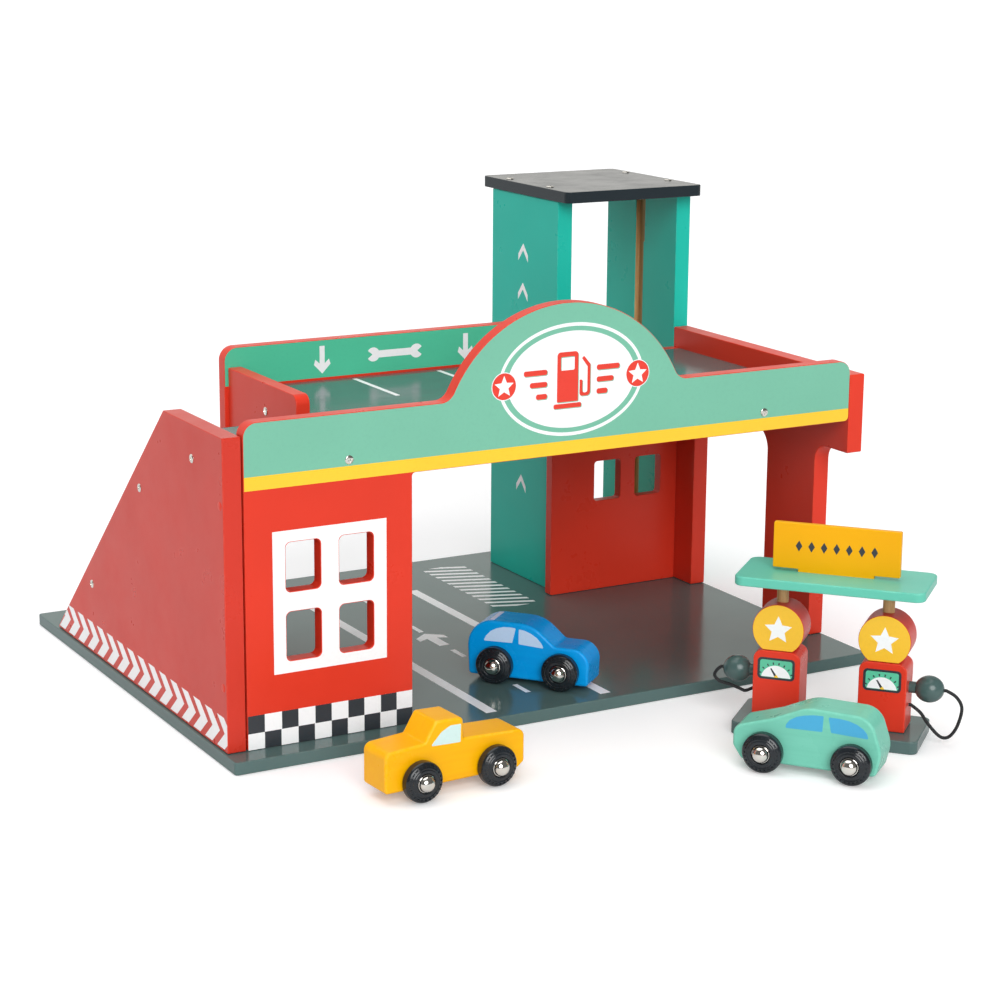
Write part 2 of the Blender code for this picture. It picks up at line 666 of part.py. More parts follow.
def pump(side, name, island):
    """Pump body, disc, dowel, nozzle and cord on one side of the island; side is -1 or 1."""
    stand = ISLAND_T + SEAM
    middle = side * PUMP_SPACING / 2
    half = PUMP_W / 2
    top = stand + PUMP_H
    outline = rounded([(middle - half, stand, 0), (middle + half, stand, 0),
                       (middle + half, top, PUMP_CORNER_R), (middle - half, top, PUMP_CORNER_R)])
    body = board(f"pump_body_{name}", outline, "Y", -PUMP_D / 2, PUMP_D / 2, RED, island)
    ease(body, 0.0008)

    disc_z = top + SEAM + DISC_SEAT
    open_half = math.acos(DISC_SEAT / DISC_R)
    sweep = math.tau - 2 * open_half
    count = arc_count(DISC_R, sweep)
    start = open_half - math.pi / 2
    rim = [(middle + DISC_R * math.cos(start + sweep * k / count),
            disc_z + DISC_R * math.sin(start + sweep * k / count))
           for k in range(count + 1)]
    disc = board(f"pump_disc_{name}", rim, "Y", -DISC_T / 2, DISC_T / 2, RED, island)
    disc_top = disc_z + DISC_R
    drill(f"disc_socket_{name}", [disc], (middle, 0, disc_top), (0, 0, 1), DOWEL_R + SEAM,
          DISC_SOCKET + SEAM, SHAFT_SIDES, island)

    canopy_z = disc_top + DOWEL_SHOW
    ends = (disc_top - DISC_SOCKET, canopy_z + CANOPY_SOCKET)
    length = ends[1] - ends[0]
    rod = spun("dowel", [(0, length), (DOWEL_R, length), (DOWEL_R, 0), (0, 0)], SHAFT_SIDES, BEECH)
    seat(f"dowel_{name}", rod, (middle, 0, ends[0]), parent=island)

    face = middle + side * half
    axis_z = ISLAND_T + NOZZLE_RISE
    bore_r = (STEM_R + RUNNING) / math.cos(math.pi / SHAFT_SIDES)
    drill(f"nozzle_bore_{name}", [body], (face, 0, axis_z), (side, 0, 0), bore_r, STEM_DEPTH + BORE_SPARE,
          SHAFT_SIDES, island)
    nozzle(side, name, face, axis_z, island)

    tip = face + side * (NOZZLE_REACH + nozzle_tip())
    cord(f"pump_cord_{name}", cord_route(side, face, tip, axis_z), CORD, island)
    return canopy_z


def nozzle_tip():
    """Distance from the ball's middle to the flat where the cord leaves it."""
    return BALL_R * BALL_STRETCH * math.sqrt(1 - (TIP_R / BALL_R) ** 2)


def nozzle(side, name, face, axis_z, island):
    """Ball grip on a round stem that pushes into the pump's side; it slides along its stem."""
    neck = math.asin(STEM_R / BALL_R)
    last = math.asin(TIP_R / BALL_R)
    steps = 8
    ball = []
    for k in range(steps + 1):
        angle = last + (math.pi - neck - last) * k / steps
        ball.append((BALL_R * math.sin(angle), NOZZLE_REACH + BALL_R * BALL_STRETCH * math.cos(angle)))
    profile = [(0, ball[0][1])] + ball + [(STEM_R, -STEM_DEPTH), (0, -STEM_DEPTH)]
    mesh = spun("nozzle", profile, SHAFT_SIDES, SLATE)
    return seat(f"nozzle_{name}", mesh, (face, 0, axis_z), (side, 0, 0), island)


def cord_route(side, face, tip, axis_z):
    """Route from the nozzle's tip round a hanging loop to the hole in the pump's side.

    The loop is given as shares of the nozzle's length outside the pump and of its height.
    """
    hole_z = ISLAND_T + CORD_RISE
    if side > 0:
        loop = [(1.364, 0.900), (1.532, 0.709), (1.439, 0.398), (1.256, 0.193), (1.062, 0.132), (0.860, 0.186),
                (0.558, 0.380), (0.360, 0.545)]
    else:
        loop = [(1.211, 0.920), (1.271, 0.818), (1.114, 0.723), (0.816, 0.682), (0.517, 0.627), (0.330, 0.595)]
    start = tip + side * SEAM
    end = face + side * SEAM
    route = [(start, axis_z), (start + side * CORD_LEAD, axis_z)]
    route += [(face + run * (tip - face), height * axis_z) for run, height in loop]
    route += [(end + side * CORD_LEAD, hole_z), (end, hole_z)]
    return [Vector((u, 0.0, z)) for u, z in route]


def pump_island():
    """Two pumps under a canopy, on a base of their own."""
    island = empty("island_place", (LEFT + ISLAND_X, FRONT + ISLAND_Y, 0.0), ISLAND_TURN)
    outline = box_outline(-ISLAND_L / 2, -ISLAND_D / 2, ISLAND_L / 2, ISLAND_D / 2, ISLAND_CORNER_R)
    ease(board("island_base", outline, "Z", 0.0, ISLAND_T, SLATE, island), 0.0008)
    canopy_z = 0.0
    for side, name in ((-1, "left"), (1, "right")):
        canopy_z = pump(side, name, island)
    centre_v = -CANOPY_FORWARD
    outline = box_outline(-CANOPY_L / 2, centre_v - CANOPY_D / 2, CANOPY_L / 2, centre_v + CANOPY_D / 2,
                          CANOPY_CORNER_R)
    canopy = board("canopy", outline, "Z", canopy_z, canopy_z + CANOPY_T, TEAL, island)
    ease(canopy, 0.0008)
    for side, name in ((-1, "left"), (1, "right")):
        drill(f"canopy_socket_{name}", [canopy], (side * PUMP_SPACING / 2, 0, canopy_z), (0, 0, -1),
              DOWEL_R + SEAM, CANOPY_SOCKET + SEAM, SHAFT_SIDES, island)

    top = canopy_z + CANOPY_T
    shoulder = top + SIGN_LIFT
    tongue = TONGUE_W / 2
    half = SIGN_W / 2
    outline = rounded([(-tongue, top - TONGUE_DEPTH, 0), (tongue, top - TONGUE_DEPTH, 0), (tongue, shoulder, 0),
                       (half, shoulder, 0), (half, shoulder + SIGN_H, SIGN_CORNER_R),
                       (-half, shoulder + SIGN_H, SIGN_CORNER_R), (-half, shoulder, 0), (-tongue, shoulder, 0)])
    board("canopy_sign", outline, "Y", centre_v - SIGN_T / 2, centre_v + SIGN_T / 2, YELLOW_DEEP, island)
    slot_half = tongue + SEAM
    slot = box_outline(-slot_half, top - TONGUE_DEPTH - SEAM, slot_half, top + TONGUE_DEPTH)
    cut(canopy, board("sign_slot", slot, "Y", centre_v - SIGN_T / 2 - SEAM, centre_v + SIGN_T / 2 + SEAM,
                      CUTTER, island))


def tyre_profile():
    """Half section of a wheel from its bore out; heights start at the wheel's middle."""
    half = WHEEL_W / 2
    bore = AXLE_R + SEAM
    return [(bore, WHEEL_SEAT), (0.47 * WHEEL_R, WHEEL_SEAT), (0.52 * WHEEL_R, 0.9 * half),
            (0.74 * WHEEL_R, half), (0.80 * WHEEL_R, 0.8 * half), (0.93 * WHEEL_R, 0.64 * half),
            (WHEEL_R, 0.1 * half), (WHEEL_R, -0.5 * half), (0.92 * WHEEL_R, -half), (HUB_R, -half),
            (HUB_R, -half - WHEEL_GAP + SEAM), (bore, -half - WHEEL_GAP + SEAM)]


def axle_profile(seat_y):
    """Rod with a dome cap outside each wheel; the heights start at the car's middle."""
    dome = [(0, CAP_H), (0.55 * CAP_R, 0.88 * CAP_H), (0.90 * CAP_R, 0.50 * CAP_H), (CAP_R, 0)]
    near = [(radius, seat_y + height) for radius, height in dome] + [(AXLE_R, seat_y)]
    return near + [(radius, -height) for radius, height in reversed(near)]


def axle_set(name, s, car, body, meshes):
    """Axle with its two wheels; they turn together in the body's bore."""
    wheel_mesh, axle_mesh = meshes
    centre = empty(name + "_turn", (s, 0, WHEEL_R), 0.0, car)
    bore = (AXLE_R + RUNNING) / math.cos(math.pi / SHAFT_SIDES)
    drill(name + "_bore", [body], (0, BODY_W, 0), (0, 1, 0), bore, 2 * BODY_W, SHAFT_SIDES, centre)
    seat(name, axle_mesh, (0, 0, 0), (0, 1, 0), centre)
    for side, end in ((-1, "near"), (1, "far")):
        wheel = name.replace("axle", "wheel") + "_" + end
        seat(wheel, wheel_mesh, (0, side * WHEEL_Y, 0), (0, side, 0), centre)


def car(name, colour, length, shares, meshes, place, turn, height, wheelbase):
    """Car sawn from one block, its side outline rounded at each corner, on two turning axles.

    The place is the middle of the car on the plan. The outline's corners (along, up, radius) are
    shares of the car's length.
    """
    at = empty(name + "_place", (LEFT + place[0], FRONT + place[1], height), turn)
    outline = rounded([(length * along, length * up, length * radius) for along, up, radius in shares])
    body = board(name + "_body", outline, "Y", -BODY_W / 2, BODY_W / 2, colour, at)
    ease(body, BODY_EDGE_R, 2)
    axle_set(name + "_left_axle", -wheelbase / 2, at, body, meshes)
    axle_set(name + "_right_axle", wheelbase / 2, at, body, meshes)


def pickup(meshes):
    """Pickup with a bonnet, an upright cab and a low load bed; its front points to -X."""
    shares = [(-0.505, 0.0735, 0.025), (0.451, 0.0685, 0.017), (0.495, 0.104, 0.017), (0.495, 0.313, 0.050),
              (0.050, 0.336, 0.008), (0.047, 0.469, 0.025), (-0.149, 0.478, 0.025), (-0.227, 0.350, 0.017),
              (-0.505, 0.334, 0.050)]
    car("pickup", PICKUP_YELLOW, PICKUP_L, shares, meshes, (PICKUP_X, PICKUP_Y), PICKUP_TURN, 0.0,
        PICKUP_WHEELBASE)


def hatchback(meshes):
    """Round-backed small car; its front points to +X."""
    shares = [(-0.4967, 0.0397, 0.028), (0.473, 0.038, 0.028), (0.4853, 0.3264, 0.208),
              (0.2034, 0.3264, 0.047), (0.0227, 0.4844, 0.284), (-0.5166, 0.4844, 0.3217)]
    car("hatchback", BLUE, HATCHBACK_L, shares, meshes, (HATCHBACK_X, HATCHBACK_Y), HATCHBACK_TURN, STAND_Z,
        HATCHBACK_WHEELBASE)


def estate(meshes):
    """Long-roofed car with a sloping windscreen; its front points to -X."""
    shares = [(-0.452, 0.054, 0.035), (0.443, 0.054, 0.035), (0.4796, 0.2085, 0.19), (0.3997, 0.448, 0.139),
              (-0.026, 0.4605, 0.2605), (-0.252, 0.358, 0.2605), (-0.511, 0.2765, 0.078),
              (-0.511, 0.1435, 0.052)]
    car("estate", TEAL_CAR, ESTATE_L, shares, meshes, (ESTATE_X, ESTATE_Y), ESTATE_TURN, 0.0,
        ESTATE_WHEELBASE)


for old in list(bpy.data.objects):
    bpy.data.objects.remove(old, do_unlink=True)

CUTTER = paint("cutter", 128, 128, 128)
SLATE = paint("slate_paint", 84, 90, 92, 0.35)
RED = paint("red_paint", 222, 72, 48, 0.4)
TEAL = paint("teal_paint", 134, 201, 173, 0.4)
TEAL_DEEP = paint("deep_teal_paint", 52, 170, 150, 0.4)
YELLOW = paint("yellow_paint", 250, 205, 50, 0.4)
YELLOW_DEEP = paint("amber_paint", 247, 180, 0, 0.4)
PICKUP_YELLOW = paint("pickup_paint", 253, 185, 20, 0.35)
BLUE = paint("blue_paint", 0, 130, 205, 0.35)
TEAL_CAR = paint("mint_paint", 110, 200, 170, 0.35)
BEECH = paint("beech", 205, 165, 115, 0.55)
RUBBER = paint("wheel_plastic", 40, 48, 55, 0.5)
STEEL = paint("steel", 200, 200, 205, 0.25, 1.0)
CORD = paint("black_cord", 22, 24, 26, 0.6)

garage()
pump_island()
WHEEL_AND_AXLE = (spun("wheel", tyre_profile(), WHEEL_SIDES, RUBBER),
                  spun("axle", axle_profile(WHEEL_Y + WHEEL_SEAT + SEAM), SHAFT_SIDES, STEEL))
pickup(WHEEL_AND_AXLE)
hatchback(WHEEL_AND_AXLE)
estate(WHEEL_AND_AXLE)
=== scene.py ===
# %% [markdown]
# # A wooden toy service station
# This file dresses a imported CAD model: a garage with a ramp, a parking deck and a lift tower, a pump
# island and three cars. The CAD solids fix every place and every moving part. Here each of them gets
# the finer shape and the finish of the real toy: eased edges, printed signs and road marks, screw
# heads with a cross slot, turned wheels and a braided cord.
# Lengths are in metres, and every piece is made straight in the CAD model's own frame.

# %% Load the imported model
from math import acos, asin, atan2, ceil, cos, pi, radians, sin, sqrt, tan, tau

import bmesh
import bpy
from mathutils import Matrix, Vector


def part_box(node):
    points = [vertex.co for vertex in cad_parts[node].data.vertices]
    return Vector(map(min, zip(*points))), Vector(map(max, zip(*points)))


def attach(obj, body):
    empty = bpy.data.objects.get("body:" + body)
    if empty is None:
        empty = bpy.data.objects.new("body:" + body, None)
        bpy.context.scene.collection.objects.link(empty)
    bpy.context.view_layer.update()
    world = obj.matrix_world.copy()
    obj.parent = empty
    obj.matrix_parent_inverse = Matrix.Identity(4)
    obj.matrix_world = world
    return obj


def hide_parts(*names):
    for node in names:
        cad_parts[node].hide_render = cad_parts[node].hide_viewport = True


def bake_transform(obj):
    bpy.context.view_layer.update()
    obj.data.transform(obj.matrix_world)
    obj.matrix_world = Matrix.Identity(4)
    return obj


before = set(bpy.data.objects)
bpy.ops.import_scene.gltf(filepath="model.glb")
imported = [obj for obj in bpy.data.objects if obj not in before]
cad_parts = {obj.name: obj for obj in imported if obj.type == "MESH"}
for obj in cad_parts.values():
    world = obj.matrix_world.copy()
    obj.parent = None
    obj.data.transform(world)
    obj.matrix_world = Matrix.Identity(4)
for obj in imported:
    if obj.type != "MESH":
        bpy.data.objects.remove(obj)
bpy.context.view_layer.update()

# %% [markdown]
# ## Camera
# The photograph was taken with a long lens from the front left, looking down a little. A camera can
# be turned by Euler angles or by its three axes. The axes are clearer here: the way it looks, the way
# to its right and the way up, each turned by a small roll.

# %% Camera
EYE = (-0.95989, -1.79876, 0.63115)


def aim_camera(place, yaw, pitch, roll, lens):
    """Camera at a place, turned right by yaw, down by pitch and round its own view by roll."""
    ahead = Vector((sin(yaw) * cos(pitch), cos(yaw) * cos(pitch), -sin(pitch)))
    level = Vector((cos(yaw), -sin(yaw), 0.0))
    up = level.cross(ahead)
    right = cos(roll) * level + sin(roll) * up
    top = cos(roll) * up - sin(roll) * level
    data = bpy.data.cameras.new("camera")
    data.lens = lens
    data.sensor_width = 36.0
    data.clip_end = 60.0
    camera = bpy.data.objects.new("camera", data)
    turn = Matrix((right, top, -ahead)).transposed().to_4x4()
    camera.matrix_world = Matrix.Translation(place) @ turn
    bpy.context.scene.collection.objects.link(camera)
    bpy.context.scene.camera = camera


aim_camera(EYE, radians(29.449), radians(13.82261), radians(0.43694), 87.71)
bpy.context.scene.view_settings.view_transform = "Standard"
print("camera is", round(Vector(EYE).length, 2), "m from the toy's middle")

# %% [markdown]
# ## Small helpers for finishes
# Every finish is a node tree on a Principled shader. A few short helpers keep these trees readable:
# one adds a node, one makes a noise, one spreads a noise over a range of values, and one feeds the
# shader. Colours are noted as display values of 0 to 255, because that is how a paint chart gives
# them, and are turned into the linear light that a shader works with.

# %% Helpers for node trees
def linear(red, green, blue):
    """Linear colour with alpha from display values of 0 to 255."""
    shares = [value / 255 for value in (red, green, blue)]
    return (*[s / 12.92 if s <= 0.04045 else ((s + 0.055) / 1.055) ** 2.4 for s in shares], 1.0)


def toned(colour, share):
    """Linear colour made darker or lighter by a share, up to white."""
    return (*[min(1.0, value * share) for value in linear(*colour)[:3]], 1.0)


def feed(tree, socket, value):
    """Sets a socket to a value, or links another node's socket to it."""
    if isinstance(value, bpy.types.NodeSocket):
        tree.links.new(value, socket)
    else:
        socket.default_value = value


def put(tree, kind, **inputs):
    """New node whose inputs are set by name."""
    node = tree.nodes.new(kind)
    for name, value in inputs.items():
        feed(tree, node.inputs[name.replace("_", " ")], value)
    return node


def noise(tree, vector, scale, detail=2.0, roughness=0.5):
    """Noise value at a scale, per metre."""
    return put(tree, "ShaderNodeTexNoise", Vector=vector, Scale=scale, Detail=detail,
               Roughness=roughness).outputs[0]


def spread(tree, value, low, high, start=0.3, end=0.7):
    """Value between start and end spread from low to high."""
    return put(tree, "ShaderNodeMapRange", Value=value, From_Min=start, From_Max=end, To_Min=low,
               To_Max=high).outputs["Result"]


def mixed(tree, factor, first, second, way="MIX"):
    """Two colours mixed; each may be a colour or a socket."""
    node = tree.nodes.new("ShaderNodeMix")
    node.data_type = "RGBA"
    node.blend_type = way
    for index, value in ((0, factor), (6, first), (7, second)):
        feed(tree, node.inputs[index], value)
    return node.outputs[2]


def times(tree, first, second, way="MULTIPLY"):
    """Two values multiplied, or joined in the way that is named."""
    node = tree.nodes.new("ShaderNodeMath")
    node.operation = way
    for socket, value in zip(node.inputs, (first, second)):
        feed(tree, socket, value)
    return node.outputs[0]


def blank(name):
    """New material with its tree, its shader and the object coordinates."""
    material = bpy.data.materials.new(name)
    material.use_nodes = True
    tree = material.node_tree
    where = tree.nodes.new("ShaderNodeTexCoord").outputs["Object"]
    return material, tree, tree.nodes["Principled BSDF"], where


def dress(tree, shader, tone, roughness, height, strength, depth):
    """Feeds the shader its colour, its roughness and a bump of a height, in metres of depth."""
    bump = put(tree, "ShaderNodeBump", Strength=strength, Distance=depth, Height=height)
    for name, value in (("Base Color", tone), ("Roughness", roughness), ("Normal", bump.outputs[0])):
        feed(tree, shader.inputs[name], value)


# %% [markdown]
# ## Paint
# The boards are smooth fibreboard and the cars solid wood, both sprayed with a satin paint. Real paint
# isn't one flat colour: its tone drifts a little over a board, it has a fine stipple from the spray
# gun, its gloss varies, and it is thin and rubbed along the edges. The cars also show a faint grain.
# Each of these is a noise at its own scale. The rubbed edges read a face attribute called edge, which
# the cutting helper below gives to the eased edges, so wear stays on edges from every side.

# %% Paint
TONE_DRIFT = 0.04
STIPPLE = 0.03


def paint(name, colour, gloss, rubbed, grain_turn=None, shine=0.22):
    """Satin paint; rubbed is the tone of its worn edges, grain_turn the direction of wood under it."""
    material, tree, shader, where = blank(name)
    deep, high = toned(colour, 1 - TONE_DRIFT), toned(colour, 1 + TONE_DRIFT)
    tone = mixed(tree, spread(tree, noise(tree, where, 11.0, 3.0), 0.0, 1.0), deep, high)
    height = times(tree, noise(tree, where, 900.0), STIPPLE)
    if grain_turn is not None:
        along = put(tree, "ShaderNodeMapping", Vector=where, Rotation=(0, 0, -grain_turn))
        grain = put(tree, "ShaderNodeMapping", Vector=along.outputs[0], Scale=(14.0, 260.0, 260.0))
        streaks = noise(tree, grain.outputs[0], 1.0, 4.0, 0.6)
        tone = mixed(tree, spread(tree, streaks, 0.0, 0.16), tone, deep, "MULTIPLY")
        height = times(tree, height, times(tree, streaks, 0.10), "ADD")
    patches = spread(tree, noise(tree, where, 160.0, 4.0, 0.7), 0.0, 1.0, 0.42, 0.66)
    edge = tree.nodes.new("ShaderNodeAttribute")
    edge.attribute_name = "edge"
    wear = times(tree, times(tree, patches, edge.outputs["Fac"]), 0.22)
    smudge = noise(tree, where, 26.0, 4.0, 0.65)
    shader.inputs["Specular IOR Level"].default_value = shine
    dress(tree, shader, mixed(tree, wear, tone, linear(*rubbed)),
          spread(tree, smudge, gloss - 0.04, gloss + 0.07), height, 0.12, 0.0004)
    return material


red_paint = paint("red_paint", (220, 58, 38), 0.30, (240, 120, 96))
# Deeper red for the ramp's outer wall is painted shading: this wall faces away from the front light, so its
# paint is made darker than the other red boards.
outer_red_with_painted_shading = paint("outer_red_paint", (206, 54, 38), 0.30, (232, 122, 100), shine=0.3)
slate_paint = paint("slate_paint", (82, 106, 104), 0.16, (128, 142, 136), shine=0.32)
roof_paint = paint("roof_dark_paint", (10, 28, 36), 0.16, (80, 92, 98), shine=0.35)
tower_paint = paint("tower_teal_paint", (24, 188, 168), 0.30, (130, 214, 198))
lift_paint = paint("lift_yellow_paint", (252, 206, 40), 0.34, (255, 226, 130))
canopy_paint = paint("canopy_mint_paint", (100, 194, 172), 0.30, (160, 224, 200))
sign_paint = paint("sign_amber_paint", (240, 170, 0), 0.34, (255, 206, 90))
nozzle_paint = paint("nozzle_slate_paint", (70, 94, 92), 0.22, (110, 128, 128), shine=0.5)
rim_paint = paint("disc_rim_paint", (214, 52, 38), 0.30, (230, 120, 100), 0.0)
print(len(bpy.data.materials), "paints")

# %% [markdown]
# ## Printing ink
# Signs, road marks and windows are screen printed on the paint. Ink could be drawn by a shader, but a
# thin film of real geometry keeps crisp edges at any distance, catches the light like ink, and stays
# when the model is exported. The film's shader has the small pinholes and the slightly uneven gloss
# of a screen print.

# %% Ink
def ink(name, colour):
    """Screen printed ink with fine mottling."""
    material, tree, shader, where = blank(name)
    full, thin = linear(*colour), toned(colour, 0.91)
    mottle = spread(tree, noise(tree, where, 420.0, 3.0, 0.6), 0.0, 0.6, 0.5, 0.75)
    broad = spread(tree, noise(tree, where, 12.0), 0.0, 0.5)
    tone = mixed(tree, broad, mixed(tree, mottle, full, thin), thin)
    roughness = spread(tree, noise(tree, where, 60.0, 3.0), 0.29, 0.40)
    dress(tree, shader, tone, roughness, noise(tree, where, 1100.0), 0.15, 0.0003)
    return material


white_ink = ink("white_ink", (250, 251, 252))
mint_ink = ink("fascia_mint_ink", (118, 189, 162))
leaf_ink = ink("rear_green_ink", (82, 200, 160))
yellow_ink = ink("band_yellow_ink", (250, 204, 44))
black_ink = ink("black_ink", (48, 54, 60))
red_ink = ink("red_ink", (232, 58, 40))
star_yellow_ink = ink("disc_yellow_ink", (250, 196, 46))
dial_ink = ink("dial_green_ink", (94, 198, 160))
print(sum(1 for m in bpy.data.materials if m.name.endswith("_ink")), "inks")

# %% [markdown]
# ## Wood, plastic, steel and cord
# The dowels and the lift's grooves are bare beech: long pale streaks with short dark flecks, so one
# noise is stretched along the grain and a finer one is laid over it. The tyres are black plastic with
# a soft sheen. The axle caps and screws are plated steel with hairline scratches. The cord is a
# braid: two sets of helical threads cross each other, and their pattern reads an attribute that the
# cord's own mesh carries, so that it follows every bend.

# %% Wood, plastic, steel and cord
def stretched(tree, where, scale, detail, roughness=0.5):
    """Noise stretched along an axis by three scales per metre."""
    longer = put(tree, "ShaderNodeMapping", Vector=where, Scale=scale)
    return noise(tree, longer.outputs[0], 1.0, detail, roughness)


def beech(name, along):
    """Bare beech with its grain along an axis, given as scales per metre."""
    material, tree, shader, where = blank(name)
    grain = stretched(tree, where, along, 5.0, 0.62)
    flecks = stretched(tree, where, tuple(3.2 * value for value in along), 3.0)
    tone = mixed(tree, spread(tree, grain, 0.0, 1.0), linear(214, 172, 118), linear(176, 128, 80))
    tone = mixed(tree, spread(tree, flecks, 0.0, 0.55, 0.55, 0.75), tone, linear(140, 96, 60))
    dress(tree, shader, tone, spread(tree, grain, 0.48, 0.66), grain, 0.4, 0.0003)
    return material


def tyre_plastic():
    material, tree, shader, where = blank("tyre_plastic")
    cloud = spread(tree, noise(tree, where, 90.0, 4.0), 0.0, 1.0)
    roughness = spread(tree, noise(tree, where, 220.0, 3.0), 0.13, 0.22)
    dress(tree, shader, mixed(tree, cloud, linear(22, 26, 30), linear(32, 38, 44)), roughness,
          noise(tree, where, 1500.0), 0.08, 0.0002)
    return material


def plated_steel():
    material, tree, shader, where = blank("plated_steel")
    shader.inputs["Metallic"].default_value = 1.0
    cloud = spread(tree, noise(tree, where, 130.0, 3.0), 0.0, 1.0)
    scratches = stretched(tree, where, (2600.0, 300.0, 900.0), 2.0)
    dress(tree, shader, mixed(tree, cloud, linear(240, 236, 228), linear(220, 217, 211)),
          spread(tree, scratches, 0.05, 0.13), scratches, 0.05, 0.0001)
    return material


def braided_cord(threads=12.0, lay=0.0042):
    """Black braid: threads run round both ways, with a full turn in three lays of length; its colour is
    painted shading, darker between the threads and lighter on their crowns.
    """
    material, tree, shader, where = blank("braided_cord")
    weave = tree.nodes.new("ShaderNodeAttribute")
    weave.attribute_name = "weave"
    part = put(tree, "ShaderNodeSeparateXYZ", Vector=weave.outputs["Vector"])
    angle = times(tree, part.outputs["Z"], part.outputs["Y"], "ARCTAN2")
    turns = times(tree, times(tree, part.outputs["X"], tau / lay), threads / 6)
    rounds = [times(tree, times(tree, angle, way * threads / 2), turns, "ADD") for way in (1.0, -1.0)]
    height = times(tree, *[times(tree, phase, 0.0, "SINE") for phase in rounds], "MAXIMUM")
    # Painted shading and highlight: the height that makes the bump also darkens the gaps and lightens the
    # crowns.
    relief_and_painted_shading = spread(tree, height, 0.0, 1.0, -0.2, 1.0)
    dress(tree, shader, mixed(tree, relief_and_painted_shading, linear(9, 10, 11), linear(36, 38, 41)),
          spread(tree, noise(tree, where, 700.0), 0.5, 0.68), relief_and_painted_shading, 0.7, 0.0002)
    return material


upright_beech = beech("beech_upright_grain", (320.0, 320.0, 16.0))
tyre = tyre_plastic()
steel = plated_steel()
braid = braided_cord()
print("finishes:", ", ".join(sorted(m.name for m in (upright_beech, tyre, steel, braid))))

# %% [markdown]
# ## Baking and placing
# A modifier or a node tree is turned into a plain mesh before a piece is placed, so that what is shown
# is exactly what is exported. Then each piece takes its finish, is tied to the empty of the body that
# it moves with, and hides the solid that it stands for.

# %% Helpers for pieces
def made_mesh(obj):
    """Plain mesh of what an object's modifiers or curve settings make."""
    graph = bpy.context.evaluated_depsgraph_get()
    mesh = bpy.data.meshes.new_from_object(obj.evaluated_get(graph))
    mesh.name = obj.name
    return mesh


def bake(obj):
    """Keeps what an object's modifiers make as its mesh."""
    mesh = made_mesh(obj)
    obj.modifiers.clear()
    obj.data = mesh
    return obj


def as_object(name, mesh):
    """Mesh or curve as an object in the scene."""
    obj = bpy.data.objects.new(name, mesh)
    bpy.context.scene.collection.objects.link(obj)
    return obj


def close_up(bm):
    """Merges doubled corners and turns all faces outwards."""
    bmesh.ops.remove_doubles(bm, verts=bm.verts, dist=1e-6)
    bmesh.ops.recalc_face_normals(bm, faces=bm.faces)


def from_bmesh(name, bm):
    """Object from a finished bmesh."""
    mesh = bpy.data.meshes.new(name)
    bm.to_mesh(mesh)
    bm.free()
    return as_object(name, mesh)


def smooth(obj, angle=35.0):
    """Smooth shading that keeps sharp corners, with big flat faces leading the shading."""
    obj.data.shade_smooth()
    obj.data.set_sharp_from_angle(angle=radians(angle))
    lead = obj.modifiers.new("flat_faces_lead", "WEIGHTED_NORMAL")
    lead.keep_sharp = True
    return bake(obj)


def hand_over(obj, body, finish=None, stands_for=()):
    """Gives a piece its finish and ties it to the frame."""
    if finish is not None:
        obj.data.materials.clear()
        obj.data.materials.append(finish)
    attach(obj, body)
    if stands_for:
        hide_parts(*stands_for)
    return obj


def joined(name, objs):
    """Several meshes as one piece, with the first one's finish."""
    bm = bmesh.new()
    for obj in objs:
        bm.from_mesh(obj.data)
    whole = from_bmesh(name, bm)
    for material in objs[0].data.materials:
        whole.data.materials.append(material)
    for obj in objs:
        bpy.data.objects.remove(obj)
    return whole


# %% [markdown]
# ## Cutting boards
# Every board of the toy is sawn to an outline from flat stock and then sanded, so that its edges are
# slightly rounded. A flat curve does the same: its outline may have holes, Extrude gives the board its
# thickness, and Bevel rounds the edges all the way round, holes included. An Offset of minus the bevel
# keeps the outline's size. Each corner of an outline may have a radius of its own, and one without
# gets the usual small one. The pattern is drawn in millimetres and scaled down afterwards, because
# Blender fills a curve to a fixed fineness that would swallow small corners drawn in metres.

# %% Outlines
SAWN = 0.0012


def rounded(corners, step=radians(6), usual=SAWN):
    """Outline through corners (a, b) or (a, b, radius), each radius turned into a fine arc."""
    outline = []
    for index, (a, b, *own) in enumerate(corners):
        radius = own[0] if own else usual
        here = Vector((a, b))
        if radius == 0:
            outline.append(here)
            continue
        back = Vector(corners[index - 1][:2]) - here
        ahead = Vector(corners[(index + 1) % len(corners)][:2]) - here
        half = back.angle(ahead) / 2
        reach = min(radius / tan(half), 0.49 * back.length, 0.49 * ahead.length)
        radius = reach * tan(half)
        centre = here + (back.normalized() + ahead.normalized()).normalized() * radius / sin(half)
        start = here + back.normalized() * reach - centre
        sweep = -start.angle_signed(here + ahead.normalized() * reach - centre)
        count = max(3, ceil(abs(sweep) / step))
        first = atan2(start.y, start.x)
        for k in range(count + 1):
            angle = first + sweep * k / count
            outline.append(centre + radius * Vector((cos(angle), sin(angle))))
    return [tuple(point) for point in outline]


def oblong(a0, b0, a1, b1, radius=0.0):
    """Rectangle with four like corners."""
    return rounded([(a0, b0), (a1, b0), (a1, b1), (a0, b1)], usual=radius)


def arc(a, b, half_a, half_b, first, last, count):
    """Points along part of an ellipse round (a, b), with both its ends."""
    angles = [first + (last - first) * k / count for k in range(count + 1)]
    return [(a + half_a * cos(angle), b + half_b * sin(angle)) for angle in angles]


def ring_of(a, b, half_a, half_b, count=96):
    """Whole ellipse round (a, b)."""
    return arc(a, b, half_a, half_b, 0.0, tau, count)[:-1]


def moved(loops, da, db):
    """Loops shifted on their plane."""
    return [[(a + da, b + db) for a, b in loop] for loop in loops]


# %% Boards
ACROSS = {"X": Matrix(((0, 0, 1), (1, 0, 0), (0, 1, 0))).to_4x4(),
          "Y": Matrix(((1, 0, 0), (0, 0, 1), (0, 1, 0))).to_4x4(),
          "Z": Matrix.Identity(4)}


